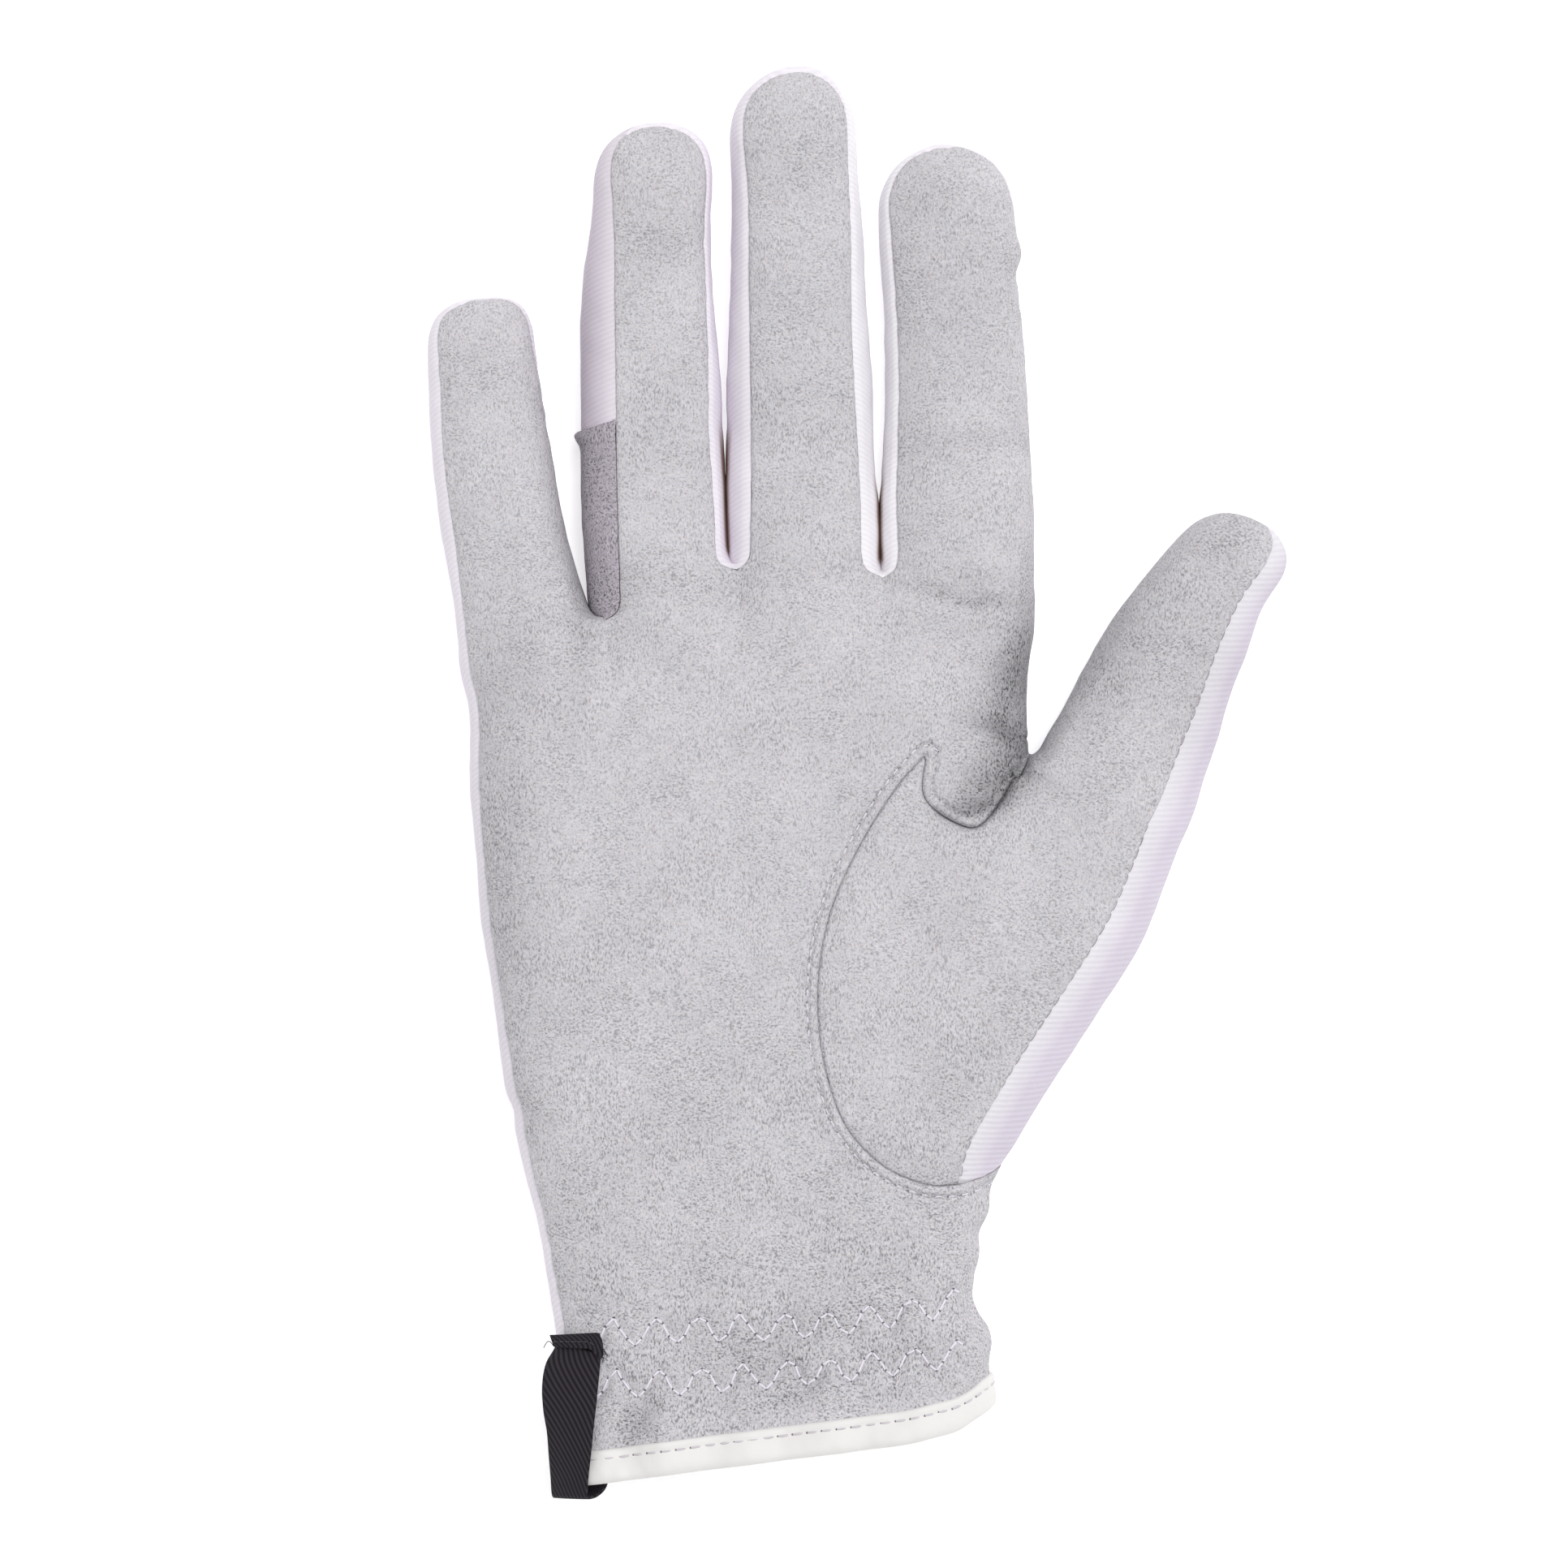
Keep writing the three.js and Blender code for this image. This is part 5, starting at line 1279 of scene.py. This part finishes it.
there = [regions[name]["ids"] for name in [f"top{n}" for n in range(5)] + ["thumb_wall"]]
back_again = [regions[name]["ids"][:, ::-1] for name in [f"back{n}" for n in (4, 3, 2, 1, 0)] + ["outer"]]
loop_ids = np.hstack([ids[: UPPER_ROW + 1, :-1] for ids in there + back_again])
hem = cloth_place(loop_ids[HEM_ROW])
outwards = unit(normals[loop_ids[HEM_ROW]] * np.array([1, 0, 1]))
hem = np.hstack([hem, outwards, unit(cloth_place(loop_ids[UPPER_ROW]) - hem)])
hem = np.vstack([hem, hem[:1]])
lengths = run_lengths(hem[:, :3])
ring = soften(read_line(hem, lengths, np.linspace(0, lengths[-1], RING, endpoint=False)), 3)
ring[:, 1] = soften(ring[:, 1], 120)
ring[:, 1] -= HEM_DROP * bell(ring[:, 0] - HEM_DROP_AT, HEM_DROP_WIDTH)
binding = []
for out, up in BINDING_PROFILE:
    places = ring[:, :3] + ring[:, 3:6] * out + ring[:, 6:9] * up
    ripple = 0.035 * waves(places, SHORT_WAVES) + 0.02 * waves(places, PUCKER_WAVES)
    binding.append(places + ring[:, 3:6] * ripple[:, None] * (out > 0))
binding = above_table(np.vstack(binding), CLOTH_GAP)
faces = loop_faces(len(BINDING_PROFILE), RING).tolist()
add_piece("cuff_binding_leather", binding, faces, ["cuff_binding"])
binding_threads = Threads()
line = np.hstack([ring[:, :3] + ring[:, 3:6] * STITCH_OUT + ring[:, 6:9] * STITCH_UP, ring[:, 3:6]])
pairs = spaced_pairs(np.vstack([line, line[:1]]), 2.45, 0.66)
binding_threads.sew(pairs, radius=0.17, height=0.1, sunk=0.2, hole=0.2, deeper=0.02)
binding_threads.build("binding_stitches")
needle_holes.build("needle_holes")

# Ribbon label: its left and right edges from the sewn top over the hem to its return behind
LABEL = table("along lx ly lz rx ry rz", [
    [0.0, -49.6, -91.2, 14.4, -42.2, -90.2, 19.9], [2.0, -49.4, -92.8, 14.6, -42.0, -92.4, 20.1],
    [4.6, -50.9, -95.5, 15.2, -42.1, -95.2, 20.6], [8.0, -51.5, -99.0, 15.8, -42.4, -98.6, 21.2],
    [12.0, -51.3, -103.0, 16.4, -42.8, -102.6, 21.7], [15.0, -50.7, -106.6, 16.6, -43.2, -106.0, 21.9],
    [19.0, -50.4, -110.4, 16.4, -43.6, -110.0, 21.8], [23.0, -50.1, -114.0, 16.0, -44.0, -113.6, 21.6],
    [26.0, -49.9, -117.0, 15.2, -44.2, -116.8, 20.6], [27.0, -49.6, -117.4, 14.2, -44.0, -117.2, 19.4],
    [29.0, -48.2, -117.2, 11.6, -42.6, -117.0, 16.8], [31.5, -46.4, -115.8, 10.0, -41.2, -115.6, 15.0],
    [34.5, -45.2, -112.6, 10.4, -40.6, -112.4, 15.4],
])
LABEL_LENGTH, LABEL_FRONT, RIBBON_WIDTH = 34.5, 27, 9.5
LABEL_BOW, RETURN_BOW = 0.5, 0.3
# The ribbon's end, folded over at the top: a second layer with a rounded, frayed right corner
FLAP_TOP = np.array([[-50.2, -90.9, 15.0], [-41.8, -90.1, 20.7]])
FLAP_END = np.array([[-49.5, -92.6, 15.5], [-41.3, -92.7, 21.2]])
FLAP_LENGTH = 3.0
FLAP_FRAYED_END = 2.1


def grid_normals(grid):
    return unit(np.cross(np.gradient(grid, axis=0), np.gradient(grid, axis=1)))


def ribbon_layer(grid, front, behind, length, start):
    """A thin layer with a front and a back: its points, its faces counted from start, and its weave."""
    up = grid_normals(grid)
    both = np.concatenate([grid + up * front, (grid - up * behind)[:, ::-1]], axis=1)
    rows, width = both.shape[:2]
    share = np.linspace(0, 1, width // 2)
    across = np.concatenate([share, share[::-1]]) * RIBBON_WIDTH
    across, along = np.meshgrid(across, np.linspace(0, length, rows))
    first_rows = start, start + (rows - 1) * width
    faces = (loop_faces(rows, width) + start).tolist() + [range(row, row + width) for row in first_rows]
    return both.reshape(-1, 3), faces, np.stack([across, along, 0 * along], -1).reshape(-1, 3)


at, share = np.linspace(0, LABEL_LENGTH, 90), np.linspace(0, 1, 15)
left, right = (np.column_stack([read(LABEL, side + axis, at) for axis in "xyz"])[:, None] for side in "lr")
grid = left * (1 - share)[None, :, None] + right * share[None, :, None]
bow = np.where(at < LABEL_FRONT, 1, RETURN_BOW)
grid[..., 2] += LABEL_BOW * np.sin(math.pi * share)[None, :] * bow[:, None]
down, share = np.linspace(0, 1, 12)[:, None], np.linspace(0, 1, 26)
share = share * (1 - 0.1 * np.maximum(2 * down - 1, 0) ** 3 - 0.07 * np.maximum(1 - 2 * down, 0) ** 3)
left, right = (top + down[..., None] * (end - top) for top, end in zip(FLAP_TOP, FLAP_END))
flap = left + share[..., None] * (right - left)
flap[..., 1] -= FLAP_FRAYED_END * down * ease((share - 0.7) / 0.3)
flap[..., 2] += 0.55 * np.sin(math.pi * share) + 0.25 * np.sin(math.pi * down)
layer_points, layer_faces, layer_weave = ribbon_layer(grid, 0.22, 0.22, LABEL_LENGTH, 0)
flap_points, flap_faces, flap_weave = ribbon_layer(flap, 0.35, 0.1, FLAP_LENGTH, len(layer_points))
layers = np.vstack([layer_points, flap_points])
weave = {"weave": np.vstack([layer_weave, flap_weave])}
label = add_piece("label_ribbon", layers, layer_faces + flap_faces, ["side_label"], weave)

# Stitches through the flap, its frayed threads and a loose one
FLAP_STITCH_ROW = 6
label_threads = Threads()
up = grid_normals(flap)
front = flap + up * 0.36
row = np.hstack([front[FLAP_STITCH_ROW], up[FLAP_STITCH_ROW]])
label_threads.sew([(row[k], row[k + 2]) for k in range(1, 22, 3)], radius=0.13, height=0.1, sunk=0.12)
frays = np.random.default_rng(21)
for _ in range(14):
    side = int(frays.integers(4, 12))
    root = front[side, -1] - up[side, -1] * frays.uniform(0.1, 0.4)
    aim = np.array([frays.uniform(0.3, 1.0), frays.uniform(-1.0, 0.3), frays.uniform(-0.6, 0.1)])
    t = np.linspace(0, 1, 6)[:, None] * frays.uniform(0.5, 1.1)
    label_threads.add(*tube(root + aim * t + np.array([0, -0.3, -0.2]) * t**2, 0.05, 5))
t = np.linspace(0, 1, 12)[:, None]
loose = front[-2, 0] + np.array([-1.6, -0.5, -0.5]) * t + np.array([0, 1.0, 0.3]) * np.sin(3 * t)
label_threads.add(*tube(loose, 0.07, 5))
label_threads.build("label_stitches")


# Materials
class Nodes:
    """A material's node tree, built by short calls. Its place is the object's, in millimetres."""

    def __init__(self, name, colour, roughness, specular):
        self.material = bpy.data.materials.new(name)
        self.material.use_nodes = True
        self.tree = self.material.node_tree
        self.shader = self.tree.nodes["Principled BSDF"]
        self.shader.inputs["Base Color"].default_value = (*colour, 1)
        self.shader.inputs["Roughness"].default_value = roughness
        self.shader.inputs["Specular IOR Level"].default_value = specular
        self.place = self.scaled(self.add("ShaderNodeTexCoord").outputs["Object"], 1000, 1000, 1000)

    def add(self, kind, settings=None, **inputs):
        made = self.tree.nodes.new(kind)
        for key, value in (settings or {}).items():
            setattr(made, key, value)
        for key, value in inputs.items():
            self.feed(made.inputs[int(key[1:]) if key[0] == "_" else key], value)
        return made

    def feed(self, socket, value):
        if isinstance(value, bpy.types.NodeSocket):
            self.tree.links.new(value, socket)
        else:
            socket.default_value = value

    def math(self, operation, a, b=0.0, c=0.0):
        return self.add("ShaderNodeMath", {"operation": operation}, _0=a, _1=b, _2=c).outputs[0]

    def vector(self, operation, **inputs):
        return self.add("ShaderNodeVectorMath", {"operation": operation}, **inputs).outputs

    def scaled(self, vector, *scale):
        return self.vector("MULTIPLY", _0=vector, _1=scale)[0]

    def noise(self, scale, detail=2.0, roughness=0.5, stretch=None):
        place = self.scaled(self.place, *stretch) if stretch else self.place
        made = self.add("ShaderNodeTexNoise", Vector=place, Scale=scale, Detail=detail, Roughness=roughness)
        return made.outputs[0]

    def remap(self, value, low, high, to_low, to_high):
        return self.add("ShaderNodeMapRange", _0=value, _1=low, _2=high, _3=to_low, _4=to_high).outputs[0]

    def vary(self, tone, noise, strength, low=0.3, high=0.7):
        """A tone made lighter and darker by a noise."""
        return self.math("MULTIPLY_ADD", self.remap(noise, low, high, -1, 1), strength, tone)

    def blend(self, share, a, b):
        return self.add("ShaderNodeMix", {"data_type": "RGBA"}, _0=share, _6=a, _7=b).outputs[2]

    def attribute(self, name, output="Fac"):
        return self.add("ShaderNodeAttribute", {"attribute_name": name}).outputs[output]

    def stripes(self, lean, pitch):
        """Waves of twill lines across the weave's coordinates, as an angle."""
        turn = 2 * math.pi / pitch
        across = (math.sin(lean) * turn, math.cos(lean) * turn, 0)
        return self.vector("DOT_PRODUCT", _0=self.attribute("weave", "Vector"), _1=across)["Value"]

    def finish(self, height, distance, strength, tint=None, tone=1.0):
        """Links the bump, and the tint times the tone."""
        bump = self.add("ShaderNodeBump", Height=height, Distance=distance, Strength=strength)
        self.feed(self.shader.inputs["Normal"], bump.outputs[0])
        if tint is not None:
            self.feed(self.shader.inputs["Base Color"], self.vector("SCALE", _0=tint, Scale=tone)[0])
        return self.material


def srgb(r, g, b):
    return tuple(((c / 255 + 0.055) / 1.055) ** 2.4 for c in (r, g, b))


def tinted(colour, factors):
    return (*(c * k for c, k in zip(colour, factors)), 1)


def suede(name, colour, contrast):
    m = Nodes(name, colour, 1.0, 0.05)
    upright = m.noise(1.0, 2, 0.6, (3.3, 1.7, 3.3))
    lying = m.noise(1.0, 2, 0.6, (2.4, 2.9, 2.9))
    which = m.remap(m.noise(0.11), 0.42, 0.58, 0, 1)
    nap = m.math("MULTIPLY_ADD", lying, which, m.math("MULTIPLY", upright, m.math("SUBTRACT", 1.0, which)))
    fine = m.noise(5.5, 2, 0.6)
    pits = m.remap(nap, 0.34, 0.5, -1, 0)
    lights = m.remap(nap, 0.52, 0.7, 0, 1)
    # Painted shade and light: the shade attribute darkens the suede and strengthens its nap contrast there
    shade = m.attribute("shade")
    axes = m.add("ShaderNodeSeparateXYZ", _0=m.place).outputs
    low = m.remap(axes[1], -75, -15, 1.35, 1.0)
    depth = m.math("MULTIPLY", m.math("MULTIPLY_ADD", shade, 2.6, 1.0), m.math("MULTIPLY", low, contrast))
    tone = m.math("MULTIPLY_ADD", pits, depth, 1.0)
    tone = m.math("MULTIPLY_ADD", lights, m.math("MULTIPLY", depth, 0.45), tone)
    tone = m.vary(tone, fine, contrast * 0.34)
    tone = m.vary(tone, m.noise(0.5, 3, 0.6), 0.03)
    tone = m.vary(tone, m.noise(0.07, 2, 0.55), 0.036, 0.35, 0.65)
    # The folded band round the thumb hole is streaked, and along its stitches it has painted shade of the
    # stitch pits
    band = m.math("COMPARE", m.attribute("hole"), 0.9, 0.8)
    streaks = m.remap(m.noise(1.7, 2, 0.6), 0.35, 0.65, -1, 1)
    tone = m.math("MULTIPLY_ADD", m.math("MULTIPLY", band, streaks), 0.06, tone)
    stitch_pit_shade = m.math("COMPARE", m.attribute("hole"), 1.75, 0.22)
    stitch_pit_shade = m.math("MULTIPLY", stitch_pit_shade, m.remap(axes[0], 19, 22, 1, 0))
    tone = m.math("MULTIPLY_ADD", stitch_pit_shade, m.remap(streaks, -1, 1, -0.26, -0.02), tone)
    # Painted shade: darker by the shade attribute
    tone = m.math("MULTIPLY", tone, m.math("SUBTRACT", 1.0, shade))
    # Painted shadow in the grooves between touching fingers
    tone = m.math("MULTIPLY", tone, m.math("MULTIPLY_ADD", m.attribute("groove"), -0.6, 1.0))
    warm = m.remap(m.noise(3.4, 1), 0.35, 0.65, 0, 1)
    tint = m.blend(warm, tinted(colour, (0.97, 0.985, 1.02)), tinted(colour, (1.03, 1.0, 0.98)))
    return m.finish(m.math("MULTIPLY_ADD", fine, 0.35, nap), 0.00035, 0.8, tint, tone)


def twill(name, colour, pitch, lean, far_shade_tint):
    m = Nodes(name, colour, 0.8, 0.15)
    line = m.math("SINE", m.math("MULTIPLY_ADD", m.noise(0.7), 0.9, m.stripes(lean, pitch)))
    cell = m.noise(4.0, 2, 0.6)
    tone = m.math("MULTIPLY_ADD", line, 0.034, 1.0)
    tone = m.vary(m.vary(tone, cell, 0.022), m.noise(0.12), 0.02)
    # Painted shade, and painted light where negative, from the shade attribute
    tone = m.math("SUBTRACT", tone, m.attribute("shade"))
    # Painted shade: the twill darker low down, near the table
    height_up = m.add("ShaderNodeSeparateXYZ", _0=m.place).outputs[2]
    tone = m.math("MULTIPLY", tone, m.remap(height_up, 1, 9, 0.84, 1))
    # Away from the seams a darker, more lilac tint: painted shade where the walls turn down
    tint = m.blend(m.remap(m.attribute("seam"), 0.8, 5.0, 0, 1), (*colour, 1), tinted(colour, far_shade_tint))
    # Painted shadow, brown, in the grooves between touching fingers
    tint = m.blend(m.attribute("groove"), tint, (*GROOVE_SHADOW_BROWN, 1))
    return m.finish(m.math("MULTIPLY_ADD", cell, 0.5, m.math("MULTIPLY", line, 0.5)), 0.0001, 0.6, tint, tone)


def leather(name, colour):
    m = Nodes(name, colour, 0.56, 0.3)
    grain = m.add("ShaderNodeTexVoronoi", {"feature": "DISTANCE_TO_EDGE"}, Vector=m.place, Scale=1.6)
    height = m.math("MULTIPLY_ADD", m.noise(0.7, 3), 0.5, m.math("MINIMUM", grain.outputs[0], 0.15))
    return m.finish(height, 0.0001, 0.5)


def ribbon(name, colour):
    m = Nodes(name, colour, 0.75, 0.12)
    line = m.math("SINE", m.stripes(-0.96, 0.8))
    tone = m.math("ADD", m.remap(line, -1, 1, -0.45, 1.3), 1.0)
    return m.finish(line, 0.00006, 0.8, colour, tone)


def thread(name, colour):
    m = Nodes(name, colour, 0.6, 0.5)
    return m.finish(m.noise(6.0, 1), 0.00003, 0.5)


# Brown of the painted shadow in the grooves between touching fingers
GROOVE_SHADOW_BROWN = srgb(138, 112, 104)
GREY_SUEDE = suede("grey_suede", srgb(211, 209, 213), 0.36)
PATCH_SUEDE = suede("patch_suede", srgb(187, 180, 189), 0.56)
LILAC_TWILL = twill("lilac_twill", srgb(240, 235, 243), 0.8, 0.35, (0.97, 0.945, 0.975))
# A darker copy of the twill for the ring finger's left wall: painted shade of a wall that faces away from the
# light
SHADED_RING_TWILL = twill("ring_twill", srgb(228, 221, 230), 0.8, 0.35, (0.93, 0.9, 0.94))
# A lighter copy of the twill for the index finger's left wall: painted light on a wall in shadow
LIT_INDEX_TWILL = twill("index_twill", srgb(246, 243, 248), 0.8, 0.35, (1, 1, 1))
# The thumb's twill has its own weave; its strong far tint, darker and more lilac, is painted shade on the
# thumb's lower side
THUMB_TWILL = twill("thumb_twill", srgb(234, 231, 237), 0.93, 0.05, (0.86, 0.815, 0.885))
CREAM_LEATHER = leather("cream_leather", srgb(235, 233, 231))
BLACK_RIBBON = ribbon("black_ribbon", srgb(38, 35, 40))
WHITE_THREAD = thread("white_thread", srgb(238, 235, 244))
GREY_THREAD = thread("grey_thread", srgb(212, 207, 213))
BLACK_THREAD = thread("black_thread", srgb(52, 49, 54))
SEAM_THREAD = thread("seam_thread", srgb(160, 153, 161))
HOLE_SHADOW = thread("hole_shadow", srgb(104, 98, 108))

MATERIALS = {
    "palm_suede": GREY_SUEDE,
    "thumb_suede": GREY_SUEDE,
    "patch_cloth": PATCH_SUEDE,
    "thumb_twill": THUMB_TWILL,
    "fourchette_little_ring_twill": SHADED_RING_TWILL,
    "fourchette_middle_index_twill": LIT_INDEX_TWILL,
    "cuff_binding_leather": CREAM_LEATHER,
    "label_ribbon": BLACK_RIBBON,
    "label_stitches": BLACK_THREAD,
    "wrist_stitches": WHITE_THREAD,
    "binding_stitches": GREY_THREAD,
    "thumb_hole_stitches": WHITE_THREAD,
    "thumb_seam_stitches": SEAM_THREAD,
    "needle_holes": HOLE_SHADOW,
}
for obj in bpy.data.objects:
    if obj.type == "MESH" and "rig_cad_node" not in obj:
        obj.data.materials.clear()
        obj.data.materials.append(MATERIALS.get(obj.name, LILAC_TWILL))

# Floor, light and camera
FLOOR_SIZE = 3.0
FLOOR_TONE = 0.96
FLOOR_GLOW = 0.42
WORLD_STRENGTH = 0.48
floor_mesh = bpy.data.meshes.new("floor")
corners = [(x * FLOOR_SIZE / 2, y * FLOOR_SIZE / 2, 0) for x, y in ((-1, -1), (1, -1), (1, 1), (-1, 1))]
floor_mesh.from_pydata(corners, [], [(0, 1, 2, 3)])
floor = bpy.data.objects.new("floor", floor_mesh)
bpy.context.scene.collection.objects.link(floor)
pale = Nodes("pale_floor", (FLOOR_TONE, FLOOR_TONE, FLOOR_TONE), 0.9, 0.1)
pale.shader.inputs["Emission Color"].default_value = (1, 1, 1, 1)
pale.shader.inputs["Emission Strength"].default_value = FLOOR_GLOW
floor_mesh.materials.append(pale.finish(pale.noise(0.3), 0.00005, 0.1))

scene = bpy.context.scene
scene.view_settings.view_transform = "Standard"
world = bpy.data.worlds.new("studio")
world.use_nodes = True
background = world.node_tree.nodes["Background"]
background.inputs["Color"].default_value = (1, 1, 1, 1)
background.inputs["Strength"].default_value = WORLD_STRENGTH
scene.world = world


def sun(name, strength, spread, tilt_x, tilt_y):
    data = bpy.data.lights.new(name, "SUN")
    data.energy, data.angle = strength * math.pi, math.radians(spread)
    lamp = bpy.data.objects.new(name, data)
    lamp.rotation_euler = (math.radians(tilt_x), math.radians(tilt_y), 0)
    scene.collection.objects.link(lamp)


sun("key_light", 0.58, 34, -14, 13)

# The camera stands above the palm's top and sees the photo's width of 1932 pixels, 7.5 of them a millimetre
CAMERA_AT = (-0.012, -0.0005)
VIEW_WIDTH = 1932 / 7.5 * MM
PALM_TOP = 0.012
LENS = 200.0
SENSOR = 36.0
camera_data = bpy.data.cameras.new("camera")
camera_data.lens, camera_data.sensor_width = LENS, SENSOR
camera = bpy.data.objects.new("camera", camera_data)
camera.location = (*CAMERA_AT, VIEW_WIDTH * LENS / SENSOR + PALM_TOP)
camera_data.clip_start, camera_data.clip_end = 0.1, 20
scene.collection.objects.link(camera)
scene.camera = camera
